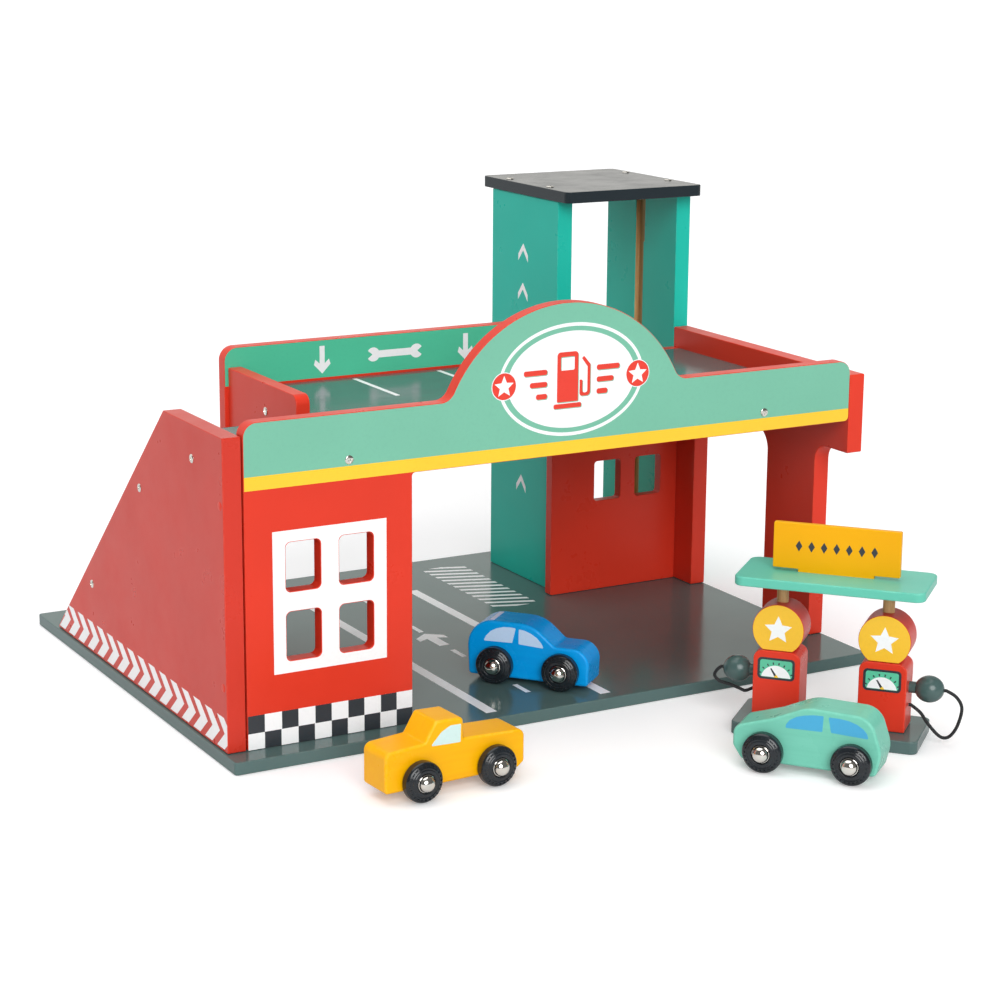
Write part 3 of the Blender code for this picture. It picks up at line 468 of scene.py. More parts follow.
def board(name, loops, along, near, far, ease, place=Matrix(), rounds=2):
    """Board cut to an outline and its holes, drawn across the named axis, between near and far."""
    curve = bpy.data.curves.new(name, "CURVE")
    curve.dimensions = "2D"
    curve.fill_mode = "BOTH"
    curve.extrude = 1000 * (abs(far - near) / 2 - ease)
    curve.bevel_depth = 1000 * ease
    curve.bevel_resolution = rounds
    curve.offset = -1000 * ease
    for loop in loops:
        spline = curve.splines.new("POLY")
        spline.points.add(len(loop) - 1)
        for point, (a, b) in zip(spline.points, loop):
            point.co = (1000 * a, 1000 * b, 0.0, 1.0)
        spline.use_cyclic_u = True
    pattern = as_object(name + "_pattern", curve)
    mesh = made_mesh(pattern)
    bpy.data.objects.remove(pattern)
    turn = place @ ACROSS[along]
    mesh.transform(turn @ Matrix.Translation((0, 0, (near + far) / 2)) @ Matrix.Scale(0.001, 4))
    axis = (turn.to_3x3() @ Vector((0, 0, 1))).normalized()
    bm = bmesh.new()
    bm.from_mesh(mesh)
    close_up(bm)
    edge = bm.faces.layers.float.new("edge")
    for face in bm.faces:
        face[edge] = 1.0 if 0.05 < abs(face.normal.dot(axis)) < 0.95 else 0.0
    return smooth(from_bmesh(name, bm))


def painted(node, loops, along, finish, ease=0.0007, span=None, place=Matrix(), rounds=2):
    """Painted board that stands for a solid, as thick as the solid's box unless a span is given."""
    if span is None:
        span = [corner["XYZ".index(along)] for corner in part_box(node)]
    piece = board(node + "_painted", loops, along, *span, ease, place, rounds)
    return hand_over(piece, "station", finish, [node])


FILM = 0.00006


def film(name, loops, face, layer=1):
    """Film on a face (axis, level, side that it lies on, place); a higher layer stands out further."""
    along, level, out, place = face
    near, far = sorted((level - out * FILM / 2, level + out * FILM * layer))
    return board(name, loops, along, near, far, 0.0, place)


def printed(name, loops, face, finish, layer=1):
    """Film of ink on the station."""
    return hand_over(film(name, loops, face, layer), "station", finish)


# %% [markdown]
# ## The garage's boards
# The boards' places come from the solids' own boxes, so nothing is measured twice. Straight boards are
# plain outlines. The side wall stands on two legs with an arch between them, and the ramp's walls
# follow its slope.

# %% Base, deck, ramp and roof
DECK_UNDER, DECK_TOP = 0.2204, 0.2304
RAMP_ANGLE = radians(42.67)
SLOPE = tan(RAMP_ANGLE)
SEAM = 0.0003

base_lo, base_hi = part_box("base_board")
BASE_TOP = 0.010
base = painted("base_board", [oblong(base_lo.x, base_lo.y, base_hi.x, base_hi.y, 0.003)], "Z",
               slate_paint, 0.0009)

lo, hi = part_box("deck_board")
ramp_lo, ramp_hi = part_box("ramp_board")
guard_lo, guard_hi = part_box("ramp_guard_wall")
window_lo, window_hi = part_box("tower_window_panel")
deck_outline = [(lo.x, lo.y), (hi.x, lo.y), (hi.x, window_lo.y - SEAM),
                (window_lo.x - SEAM, window_lo.y - SEAM), (window_lo.x - SEAM, hi.y),
                (guard_hi.x + SEAM, hi.y), (guard_hi.x + SEAM, guard_lo.y - SEAM),
                (ramp_hi.x + SEAM, guard_lo.y - SEAM), (ramp_hi.x + SEAM, ramp_lo.y - SEAM),
                (lo.x, ramp_lo.y - SEAM)]
deck = painted("deck_board", [deck_outline], "Z", slate_paint, 0.0005)

ramp_under = DECK_TOP - 0.015 / cos(RAMP_ANGLE)
ramp_outline = [(ramp_lo.y, DECK_TOP), (ramp_lo.y, ramp_under),
                (ramp_lo.y + (ramp_under - ramp_lo.z) / SLOPE, ramp_lo.z), (ramp_hi.y, ramp_lo.z)]
painted("ramp_board", [ramp_outline], "X", slate_paint, 0.0005)

lo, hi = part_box("tower_roof")
painted("tower_roof", [oblong(lo.x, lo.y, hi.x, hi.y, 0.006)], "Z", roof_paint, 0.0006)
print("base", [round(v, 3) for v in base.dimensions], "deck", [round(v, 3) for v in deck.dimensions])

# %% Red walls
def red_board(node, loops, along, ease=0.0007):
    return painted(node, loops, along, red_paint, ease)


outer_lo, outer_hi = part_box("ramp_outer_wall")
slant_y = outer_hi.y - (outer_hi.z - outer_lo.z) / SLOPE
outer_outline = rounded([(outer_lo.y, outer_lo.z), (outer_hi.y, outer_lo.z), (slant_y, outer_hi.z),
                         (outer_lo.y, outer_hi.z)])
# The outer wall takes the deeper red, which is painted shading.
painted("ramp_outer_wall", [outer_outline], "X", outer_red_with_painted_shading)

drop = (guard_hi.y - guard_lo.y) * SLOPE
red_board("ramp_guard_wall", [rounded([(guard_lo.y, guard_lo.z + drop), (guard_hi.y, guard_lo.z),
                                       (guard_hi.y, guard_hi.z), (guard_lo.y, guard_hi.z, 0.008)])], "X")

rear_lo, rear_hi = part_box("rear_panel")
red_board("rear_panel", [rounded([(rear_lo.x, rear_lo.z), (rear_hi.x, rear_lo.z),
                                  (rear_hi.x, rear_hi.z), (rear_lo.x, rear_hi.z, 0.012)])], "Y")

lo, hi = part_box("side_wall_right")
lintel = DECK_UNDER - 0.0387
leg = lo.y + 0.0445
arch = leg + 0.0695
rear_leg = hi.y - 0.039
red_board("side_wall_right", [rounded([
    (lo.y, lintel), (leg, lintel, 0.014), (leg, lo.z), (arch, lo.z), (arch, lintel, 0.020),
    (rear_leg, lintel, 0.020), (rear_leg, lo.z), (hi.y, lo.z), (hi.y, hi.z), (lo.y, hi.z)])], "X")

pane_right, pane_low = window_hi.x - 0.0175, BASE_TOP + 0.0845
panes = [oblong(x - 0.0283, pane_low, x, pane_low + 0.0374, 0.0032)
         for x in (pane_right, pane_right - 0.0439)]
frame_edge = oblong(window_lo.x, window_lo.z, window_hi.x, window_hi.z, SAWN)
red_board("tower_window_panel", [frame_edge] + panes, "Y", 0.0005)
print("five red walls; the arch is", round(1000 * (rear_leg - arch)), "mm wide")

# %% [markdown]
# ## The front panel
# One board makes the shop wall, the fascia and the round hump over it. The hump is a large arc that
# runs into the fascia through two small hollow arcs. Its outline is worked out once, for any inset:
# the board uses it as it is, and the mint print that covers the fascia uses it drawn in by half a
# millimetre, so that a thin line of the red board shows all round, as on the real one.

# %% Front panel
panel_lo, panel_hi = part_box("front_panel")
PANEL_TOP = 0.2612
FASCIA = 0.2097
SHOP_WIDTH = 0.1387
SHOP_EDGE = panel_lo.x + SHOP_WIDTH
HUMP_R, FOOT_R = 0.112, 0.0125
hump_x = (panel_lo.x + panel_hi.x) / 2
hump_z = PANEL_TOP + 0.0691 - HUMP_R


def hump_line(inset):
    """Top line of the fascia between its two corners, from right to left."""
    big = HUMP_R - inset
    small = FOOT_R + inset
    foot_z = PANEL_TOP - inset + small
    foot_x = sqrt((big + small) ** 2 - (foot_z - hump_z) ** 2)
    lean = atan2(foot_z - hump_z, foot_x)
    foot = arc(foot_x, foot_z, small, small, -pi / 2, lean - pi, 12)
    crown = arc(0.0, hump_z, big, big, lean, pi - lean, 60)[1:-1]
    return [(hump_x + x, z) for x, z in foot + crown + [(-x, z) for x, z in reversed(foot)]]


def fascia_outline(inset, lower, corners, low_right):
    """Outline of the fascia; corners run from its lower left on, low_right is a corner's radius."""
    top = PANEL_TOP - inset
    right = panel_hi.x - inset
    below = rounded(corners + [(right, lower, low_right), (right, top, 0.011 - inset),
                               (hump_x, top, 0), (panel_lo.x + inset, top, 0.011 - inset)])
    middle = next(k for k, (x, z) in enumerate(below) if abs(x - hump_x) + abs(z - top) < 1e-6)
    return below[:middle] + hump_line(inset) + below[middle + 1:]


PANE_W, PANE_H, PANE_R = 0.0285, 0.038, 0.0045
shop_panes = [(panel_lo.x + 0.033 + column * 0.044, BASE_TOP + 0.066 + row * 0.0537)
              for column in range(2) for row in range(2)]


def pane_loops(edge):
    """Outlines of the shop's panes, wider by an edge all round."""
    return [oblong(x - edge, z - edge, x + PANE_W + edge, z + PANE_H + edge, PANE_R)
            for x, z in shop_panes]


shop = [(panel_lo.x, panel_lo.z), (SHOP_EDGE, panel_lo.z), (SHOP_EDGE, FASCIA, 0.003)]
panel = red_board("front_panel", [fascia_outline(0.0, FASCIA, shop, 0.004)] + pane_loops(0), "Y", 0.0006)
print("front panel", [round(v, 4) for v in panel.dimensions], "with", len(panel.data.polygons), "faces")

# %% [markdown]
# ## Prints on the front panel
# The mint print covers the fascia above a yellow band. Below it, the shop's windows have a white
# frame, and a chequered strip runs along the foot. The oval sign has a ring, a white field and, at
# each end, a red roundel with a white rim and a star. A pump with its hose stands in the field, drawn
# as road signs draw it, with short bars on both sides and a mint shadow under each shape.

# %% Fascia, band, frame and oval
FRONT = ("Y", panel_lo.y, -1, Matrix())
BAND_TOP = 0.2207
RIM = 0.0005
mint = fascia_outline(RIM, BAND_TOP, [(panel_lo.x + RIM, BAND_TOP, 0)], 0.0)
printed("fascia_print", [mint], FRONT, mint_ink)
band = rounded([(panel_lo.x + RIM, FASCIA + RIM), (panel_hi.x - RIM, FASCIA + RIM, 0.0035),
                (panel_hi.x - RIM, BAND_TOP), (panel_lo.x + RIM, BAND_TOP)], usual=0)
printed("yellow_band", [band], FRONT, yellow_ink, 2)
frame_field = oblong(-0.2507, 0.0667, -0.1564, 0.1771)
printed("window_frame_print", [frame_field] + pane_loops(0.0006), FRONT, white_ink)

OVAL_X, OVAL_Z = 0.0058, 0.2694
OVAL_W, OVAL_H = 0.0656, 0.0447
ring = [ring_of(OVAL_X, OVAL_Z, OVAL_W, OVAL_H), ring_of(OVAL_X, OVAL_Z, 0.0630, 0.0420)]
printed("oval_ring", ring, FRONT, white_ink, 2)
printed("oval_field", [ring_of(OVAL_X, OVAL_Z, 0.0578, 0.0383)], FRONT, white_ink, 2)


def star(a, b, reach, waist=0.45):
    """Five-pointed star round (a, b)."""
    points = []
    for k in range(10):
        radius = reach if k % 2 == 0 else reach * waist
        points.append((a + radius * cos(pi / 2 + pi * k / 5), b + radius * sin(pi / 2 + pi * k / 5)))
    return points


ROUNDEL_Z = 0.2689
for side_name, x in (("left", OVAL_X - 0.0608), ("right", OVAL_X + 0.0604)):
    disc, outside, inside = [ring_of(x, ROUNDEL_Z, r, r, 48) for r in (0.0105, 0.0111, 0.0104)]
    printed(f"roundel_{side_name}", [disc], FRONT, red_ink, 3)
    printed(f"roundel_rim_{side_name}", [outside, inside], FRONT, white_ink, 3)
    printed(f"roundel_star_{side_name}", [star(x, ROUNDEL_Z - 0.0003, 0.0088)], FRONT, white_ink, 4)
print("oval sign", round(2000 * OVAL_W), "by", round(2000 * OVAL_H), "mm")

# %% Pump sign in the oval
def pump_sign(a, b):
    """Filling pump as on a road sign: a cabinet with a window, a foot and a hose with its nozzle."""
    cabinet = [(-0.0125, -0.0185, 0.0008), (0.0065, -0.0185, 0.0008), (0.0065, 0.021, 0.003),
               (-0.0125, 0.021, 0.003)]
    hose = [(0.0078, -0.002, 0.0004), (0.0105, -0.002, 0.0012), (0.0105, -0.0125, 0.0018),
            (0.0150, -0.0125, 0.0018), (0.0150, 0.0080, 0.001), (0.0098, 0.0150, 0.0008),
            (0.0116, 0.0168, 0.0008), (0.0176, 0.0098, 0.0012), (0.0176, -0.0150, 0.0035),
            (0.0079, -0.0150, 0.0025), (0.0079, -0.0045, 0.0004)]
    cabinet, hose = [rounded([(a + x, b + z, radius) for x, z, radius in shape]) for shape in (cabinet, hose)]
    pane = oblong(a - 0.0092, b + 0.0065, a + 0.0032, b + 0.0172, 0.001)
    foot = oblong(a - 0.0155, b - 0.0235, a + 0.0095, b - 0.0198, 0.0012)
    return [cabinet, pane, foot, hose]


def speed_bars(a, b, way):
    """Three bars beside the pump, each shorter than the last."""
    bars = []
    for k, length in enumerate((0.021, 0.0155, 0.010)):
        start = a + way * 0.0225
        near, far = sorted((start, start + way * length))
        z = b + 0.0075 - k * 0.0095
        bars.append(oblong(near, z - 0.0021, far, z + 0.0021, 0.0018))
    return bars


sign_shapes = pump_sign(OVAL_X - 0.001, OVAL_Z + 0.001)
sign_shapes += speed_bars(OVAL_X, OVAL_Z, 1) + speed_bars(OVAL_X, OVAL_Z, -1)
printed("oval_shadow", moved(sign_shapes, 0.0006, -0.0006), FRONT, mint_ink, 3)
printed("oval_pump_sign", sign_shapes, FRONT, red_ink, 4)
print(len(sign_shapes), "outlines in the sign")

# %% [markdown]
# ## A node tree for copies
# Chequers, chevrons, hatching and parking lines are all one shape at even steps, and the ticks of a
# dial are one shape at even turns. One tree does both. It takes the shape, a count, a step, and the
# angles to start from and to turn by. A Mesh Line makes the points, the shape is instanced on each of
# them, Realize Instances turns the copies into a mesh, and Set Material gives them their finish.

# %% Copies by Geometry Nodes
def new_tree(name, inlets):
    """Geometry node tree with named inputs (name, kind) after its geometry input."""
    tree = bpy.data.node_groups.new(name, "GeometryNodeTree")
    sockets = [("Geometry", "INPUT", "Geometry"), *[(label, "INPUT", kind) for label, kind in inlets],
               ("Geometry", "OUTPUT", "Geometry")]
    for label, way, kind in sockets:
        tree.interface.new_socket(name=label, in_out=way, socket_type="NodeSocket" + kind)
    return tree, tree.nodes.new("NodeGroupInput").outputs


def end_tree(tree, geometry, finish):
    """Ends a tree: its copies become one mesh with a finish."""
    whole = put(tree, "GeometryNodeRealizeInstances", Geometry=geometry)
    put_on = put(tree, "GeometryNodeSetMaterial", Geometry=whole.outputs[0], Material=finish)
    put(tree, "NodeGroupOutput", Geometry=put_on.outputs[0])
    return tree


def add_tree(obj, tree, **values):
    """Puts a tree on an object, its inputs set by the sockets' identifiers."""
    modifier = obj.modifiers.new(tree.name, "NODES")
    modifier.node_group = tree
    for item in tree.interface.items_tree:
        if item.in_out == "INPUT" and item.name in values:
            modifier[item.identifier] = values[item.name]
    return obj


def copies_tree():
    """Copies of a shape along a step, each turned round +Z a little further than the last."""
    tree, given = new_tree("copies_of_a_shape", [("count", "Int"), ("step", "Vector"), ("start", "Float"),
                                                 ("turn", "Float"), ("finish", "Material")])
    points = put(tree, "GeometryNodeMeshLine", Count=given["count"], Offset=given["step"])
    index = tree.nodes.new("GeometryNodeInputIndex").outputs[0]
    angle = times(tree, times(tree, index, given["turn"]), given["start"], "ADD")
    spin = put(tree, "ShaderNodeCombineXYZ", Z=angle)
    copies = put(tree, "GeometryNodeInstanceOnPoints", Points=points.outputs[0],
                 Instance=given["Geometry"], Rotation=spin.outputs[0])
    return end_tree(tree, copies.outputs[0], given["finish"])


copies = copies_tree()


def printed_copies(name, loop, face, finish, count, step, layer=1):
    """One printed shape repeated along a step."""
    shape = film(name, [loop], face, layer)
    shape.data.materials.append(finish)
    return hand_over(bake(add_tree(shape, copies, count=count, step=step, finish=finish)), "station", finish)


CELL = SHOP_WIDTH / 10
GAP = 0.0003
FOOT, MIDDLE, TOP = BASE_TOP + 0.0005, 0.0233, 0.0372
ground = oblong(panel_lo.x + GAP, FOOT, SHOP_EDGE - GAP, TOP)
printed("chequer_ground", [ground], FRONT, white_ink)
printed_copies("chequers_upper", oblong(panel_lo.x + GAP, MIDDLE, panel_lo.x + CELL, TOP), FRONT,
               black_ink, 5, (2 * CELL, 0, 0), 2)
printed_copies("chequers_lower", oblong(panel_lo.x + CELL, FOOT, panel_lo.x + 2 * CELL - GAP, MIDDLE),
               FRONT, black_ink, 5, (2 * CELL, 0, 0), 2)
print("chequers of", round(1000 * CELL, 1), "mm")

# %% [markdown]
# ## Chevrons on the ramp's wall
# A strip of white chevrons points to the front along the wall's foot. The full ones are copies again.
# The strip runs off both ends of the wall, so the outermost chevrons are clipped by straight lines:
# every corner on the wrong side of a line is dropped, and each crossing becomes a new corner.

# %% Chevrons
def clipped(loop, a, b, normal):
    """Part of an outline on the side of the line through (a, b) that normal points to."""
    kept = []
    for (x0, z0), (x1, z1) in zip(loop, loop[1:] + loop[:1]):
        d0 = (x0 - a) * normal[0] + (z0 - b) * normal[1]
        d1 = (x1 - a) * normal[0] + (z1 - b) * normal[1]
        if d0 >= 0:
            kept.append((x0, z0))
        if (d0 >= 0) != (d1 >= 0):
            share = d0 / (d0 - d1)
            kept.append((x0 + share * (x1 - x0), z0 + share * (z1 - z0)))
    return kept


PITCH = 0.02343
FULL_CHEVRONS = 13
WALL = ("X", outer_lo.x, -1, Matrix())
chevron = [(-0.1820, 0.0372), (-0.1948, 0.0372), (-0.2101, 0.0251), (-0.1950, 0.0124),
           (-0.1810, 0.0124), (-0.1958, 0.0251)]
strip = [moved([chevron], k * PITCH, 0)[0] for k in range(FULL_CHEVRONS + 3)]
printed_copies("wall_chevrons", strip[1], WALL, white_ink, FULL_CHEVRONS, (0, PITCH, 0))
slant = (-sin(RAMP_ANGLE), -cos(RAMP_ANGLE))
toe = outer_hi.y - SAWN
ends = [clipped(strip[0], outer_lo.y + RIM, 0, (1, 0))]
ends += [clipped(loop, toe, outer_lo.z, slant) for loop in strip[-2:]]
for number, loop in enumerate(ends, 1):
    printed(f"wall_chevron_end_{number}", [loop], WALL, white_ink)
print(len(strip), "chevrons, one every", round(1000 * PITCH, 1), "mm")

# %% [markdown]
# ## Signs and marks on the other boards
# The rear panel is green on its front above the deck, with an arrow over the lane at each side and a
# spanner between them. The tower's left wall has a column of seven small arrow heads that point the
# way the lift goes. The base carries lane lines, dashes, an arrow and a hatched strip by the tower,
# whose first and last stripes are clipped to its ends, and the deck has four parking lines.

# %% Rear panel and tower wall
REAR = ("Y", rear_lo.y, -1, Matrix())
left, right, top = rear_lo.x + RIM, rear_hi.x - RIM, rear_hi.z - RIM
rear_film = rounded([(left, 0.2325), (right, 0.2325), (right, top), (left, top, 0.0115)], usual=0)
printed("rear_panel_print", [rear_film], REAR, leaf_ink)


def down_arrow(a, top, tip):
    """Arrow with a broad open head."""
    half = [(0.0, tip), (0.0078, tip + 0.0080), (0.0064, tip + 0.0125), (0.0024, tip + 0.0088), (0.0024, top)]
    return [(a - x, z) for x, z in half[:0:-1]] + [(a + x, z) for x, z in half]


def spanner(a, b, half):
    """Open-ended spanner lying level, its jaws drawn as two round heads with a notch."""
    loop = []
    for way, first in ((1, 150), (-1, -30)):
        for k in range(19):
            angle = radians(first - 300 * k / 18)
            radius = 0.0012 if 8 <= k <= 10 else 0.0062
            loop.append((a + way * half + radius * cos(angle), b + radius * sin(angle)))
    return loop


for side_name, x in (("left", -0.0828), ("right", 0.0570)):
    printed(f"rear_arrow_{side_name}", [down_arrow(x, 0.260, 0.236)], REAR, white_ink, 2)
printed("rear_spanner", [spanner(-0.0129, 0.2485, 0.021)], REAR, white_ink, 2)

left_lo, left_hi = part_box("tower_wall_left")
head = [(0.1195, 0.3160), (0.1282, 0.3262), (0.1369, 0.3160), (0.1369, 0.3098), (0.1282, 0.3200),
        (0.1195, 0.3098)]
printed_copies("tower_arrow_heads", head, ("X", left_lo.x, -1, Matrix()), white_ink, 7, (0, 0, -0.0362))
print("rear film", round(1000 * (rear_hi.x - rear_lo.x)), "mm wide")

# %% Road marks
FLOOR = ("Z", BASE_TOP, 1, Matrix())
LANE_HALF = 0.0048
for side_name, x, y0, y1 in (("right", 0.0370, -0.2090, 0.1310), ("left", -0.0675, -0.2075, 0.2150)):
    lane = oblong(x - LANE_HALF, y0, x + LANE_HALF, y1)
    printed(f"lane_line_{side_name}", [lane], FLOOR, white_ink)
for name, corners, count, step in (("front", (-0.0192, -0.1774, -0.0146, -0.1553), 2, 0.1075),
                                   ("back", (-0.0186, 0.0100, -0.0140, 0.0311), 4, 0.0500)):
    printed_copies(f"lane_dashes_{name}", oblong(*corners), FLOOR, white_ink, count, (0, step, 0))
arrow = [(-0.0212, -0.0330), (-0.0212, -0.0100), (-0.0300, -0.0140), (-0.0300, -0.0060),
         (-0.0165, 0.0045), (-0.0030, -0.0060), (-0.0030, -0.0140), (-0.0118, -0.0100),
         (-0.0118, -0.0330)]
printed("lane_arrow", [arrow], FLOOR, white_ink)

HATCH_STEP, HATCH_COUNT = 0.01189, 11
HATCH_NEAR, HATCH_FAR = 0.0428, 0.1902
stripe = [(0.0773, 0.0622), (0.1203, 0.0468), (0.1203, 0.0516), (0.0773, 0.0670)]
printed_copies("hatched_strip", stripe, FLOOR, white_ink, HATCH_COUNT, (0, HATCH_STEP, 0))
near_end = clipped(moved([stripe], 0, -HATCH_STEP)[0], 0, HATCH_NEAR, (0, 1))
far_end = clipped(moved([stripe], 0, HATCH_COUNT * HATCH_STEP)[0], 0, HATCH_FAR, (0, -1))
printed("hatch_ends", [near_end, far_end], FLOOR, white_ink)
printed_copies("parking_lines", oblong(-0.0580, -0.0235, -0.0536, 0.0590), ("Z", DECK_TOP, 1, Matrix()),
               white_ink, 4, (0.0820, 0, 0))
print("hatched strip", round(1000 * (HATCH_FAR - HATCH_NEAR)), "mm long")

# %% [markdown]
# ## The tower and the lift
# The tower's walls have a stepped groove in which the lift's tongues run. It is cut through the paint,
# so the groove shows bare wood. These shapes are all square corners, so here a copy of the solid is
# the quickest way: its loose triangles are merged, flat areas are dissolved into whole faces, the long
# edges are bevelled, and the faces inside the groove get the wood.

# %% Tower walls and lift
def dressed_copy(name, node, ease, shortest=0.008):
    """Copy of a solid with merged faces and its long edges eased."""
    bm = bmesh.new()
    bm.from_mesh(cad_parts[node].data)
    bmesh.ops.remove_doubles(bm, verts=bm.verts, dist=1e-6)
    bmesh.ops.dissolve_limit(bm, angle_limit=radians(1), verts=bm.verts, edges=bm.edges)
    bmesh.ops.recalc_face_normals(bm, faces=bm.faces)
    edge = bm.faces.layers.float.new("edge")
    long_edges = [e for e in bm.edges if e.calc_length() > shortest and len(e.link_faces) == 2
                  and e.calc_face_angle() > radians(60)]
    eased = bmesh.ops.bevel(bm, geom=long_edges, offset=ease, segments=3, profile=0.5, affect="EDGES")
    for face in eased["faces"]:
        face[edge] = 1.0
    return from_bmesh(name, bm)


GROOVE_FRONT, GROOVE_BACK = 0.1180, 0.1370


def tower_wall(node, inner, way):
    """Tower wall whose groove shows bare wood; way points into the wall from its inner face."""
    wall = dressed_copy(node + "_painted", node, 0.0006)
    wall.data.materials.append(tower_paint)
    wall.data.materials.append(upright_beech)
    for face in wall.data.polygons:
        x, y, _ = face.center
        if 0.0012 < way * (x - inner) < 0.0055 and GROOVE_FRONT < y < GROOVE_BACK \
                and abs(face.normal.z) < 0.5:
            face.material_index = 1
    return hand_over(smooth(wall), "station", None, [node])


left_wall = tower_wall("tower_wall_left", left_hi.x, -1)
tower_wall("tower_wall_right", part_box("tower_wall_right")[0].x, 1)
lift = smooth(dressed_copy("lift_platform_painted", "lift_platform", 0.0007, 0.003))
hand_over(lift, "lift", lift_paint, ["lift_platform"])
print(sum(face.material_index for face in left_wall.data.polygons), "groove faces in the left wall")

# %% [markdown]
# ## Screws and plugs
# Dome-headed screws with a cross slot hold the boards. A head is turned like on a lathe: its half
# section is spun round its axis. Two crossed bars are then cut out of it. One head is enough, because
# a node tree puts it on a point for every screw, turned to face the way that the point says, and spun
# by a random angle from a fixed seed, as no two screws end up alike.

# %% Turned pieces
def turned(name, profile, sides):
    """Closed profile (radius, height) spun round +Z."""
    bm = bmesh.new()
    line = [bm.verts.new((radius, 0, height)) for radius, height in profile]
    edges = [bm.edges.new(pair) for pair in zip(line, line[1:])]
    if profile[0][0] > 0:
        edges.append(bm.edges.new((line[-1], line[0])))
    bmesh.ops.spin(bm, geom=line + edges, cent=(0, 0, 0), axis=(0, 0, 1), angle=tau, steps=sides)
    close_up(bm)
    return smooth(from_bmesh(name, bm), 30.0)


def block(size, place):
    """Bmesh of a box of a size at a place."""
    bm = bmesh.new()
    bmesh.ops.create_cube(bm, size=1.0, matrix=place @ Matrix.Diagonal((*size, 1)))
    return bm


def facing(direction):
    """Turn that brings +Z to a direction."""
    return Vector(direction).to_track_quat("Z", "Y").to_matrix().to_4x4()


# %% Screw heads by Geometry Nodes
HEAD_R, HEAD_RISE = 0.0035, 0.0012
head_profile = [(0.0, HEAD_RISE)] + arc(0.0, 0.0003, HEAD_R, HEAD_RISE - 0.0003, radians(75), 0.0, 5)
head_profile += [(HEAD_R, 0.0001), (HEAD_R - 0.0002, 0.0), (0.0, 0.0)]
screw_head = turned("screw_head", head_profile, 32)
bars = [from_bmesh("bar", block((0.0037, 0.0008, 0.0014), Matrix.Rotation(turn, 4, "Z")
                                @ Matrix.Translation((0, 0, HEAD_RISE)))) for turn in (0.0, pi / 2)]
slot_tool = joined("cross_slot", bars)
cut = screw_head.modifiers.new("cross_slot", "BOOLEAN")
cut.object = slot_tool
cut.operation = "DIFFERENCE"
cut.solver = "EXACT"
cut.use_self = True
smooth(screw_head)
bpy.data.objects.remove(slot_tool)


def screws_tree():
    """One head on every point, turned to the point's facing and spun at random."""
    tree, given = new_tree("heads_on_points", [("head", "Object"), ("seed", "Int"), ("finish", "Material")])
    head_in = put(tree, "GeometryNodeObjectInfo", Object=given["head"])
    way = tree.nodes.new("GeometryNodeInputNamedAttribute")
    way.data_type = "FLOAT_VECTOR"
    way.inputs["Name"].default_value = "facing"
    aim = put(tree, "FunctionNodeAlignRotationToVector", Vector=way.outputs["Attribute"])
    aim.axis = "Z"
    chance = put(tree, "FunctionNodeRandomValue", Seed=given["seed"])
    chance.inputs[3].default_value = pi
    spin = put(tree, "ShaderNodeCombineXYZ", Z=chance.outputs[1])
    twist = put(tree, "FunctionNodeEulerToRotation", Euler=spin.outputs[0])
    both = tree.nodes.new("FunctionNodeRotateRotation")
    both.rotation_space = "LOCAL"
    feed(tree, both.inputs[0], aim.outputs[0])
    feed(tree, both.inputs[1], twist.outputs[0])
    heads = put(tree, "GeometryNodeInstanceOnPoints", Points=given["Geometry"],
                Instance=head_in.outputs["Geometry"], Rotation=both.outputs[0])
    return end_tree(tree, heads.outputs[0], given["finish"])


SCREWS = {}
for group, count, way in (("outer_wall", 3, (-1, 0, 0)), ("panel", 2, (0, -1, 0)),
                          ("guard", 1, (-1, 0, 0)), ("roof", 4, (0, 0, 1))):
    SCREWS.update({f"{group}_screw_{number}": Vector(way) for number in range(1, count + 1)})


def screw_places():
    """Mesh with a point under each head and the way that the head faces."""
    points = []
    for node, way in SCREWS.items():
        lo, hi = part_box(node)
        points.append((lo + hi) / 2 + way * (abs((hi - lo).dot(way)) / 2 - HEAD_RISE))
    mesh = bpy.data.meshes.new("screw_places")
    mesh.from_pydata(points, [], [])
    attribute = mesh.attributes.new("facing", "FLOAT_VECTOR", "POINT")
    for item, way in zip(attribute.data, SCREWS.values()):
        item.vector = way
    return as_object("screw_heads", mesh)


screws = bake(add_tree(screw_places(), screws_tree(), head=screw_head, seed=7, finish=steel))
bpy.data.objects.remove(screw_head)
hand_over(screws, "station", steel, list(SCREWS))

plugs = []
PLUG_PROFILE = [(0, 0.0005), (0.0024, 0.0004), (0.0033, 0.0002), (0.0035, -0.0001), (0.0035, -0.0015),
                (0.0, -0.0015)]
for number in (1, 2):
    lo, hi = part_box(f"wall_plug_{number}")
    plug = turned(f"plug_{number}", PLUG_PROFILE, 32)
    middle = (lo.x + 0.0005, (lo.y + hi.y) / 2, (lo.z + hi.z) / 2)
    plug.data.transform(Matrix.Translation(middle) @ facing((-1, 0, 0)))
    plugs.append(plug)
wall_plugs = smooth(joined("wall_plugs_painted", plugs))
hand_over(wall_plugs, "station", red_paint, ["wall_plug_1", "wall_plug_2"])
print(len(SCREWS), "screw heads with", len(screws.data.polygons), "faces")

# %% [markdown]
# ## The pump island
# The island stands turned on the floor, so its pieces are drawn in its own frame and a matrix puts
# them in place. The pumps are blocks with two rounded top corners. The discs are sawn from a red
# turned bar with a yellow print on their face. Two beech dowels carry the canopy, and the sign's tongue
# sits in a slot of the canopy, so small gaps show beside it.

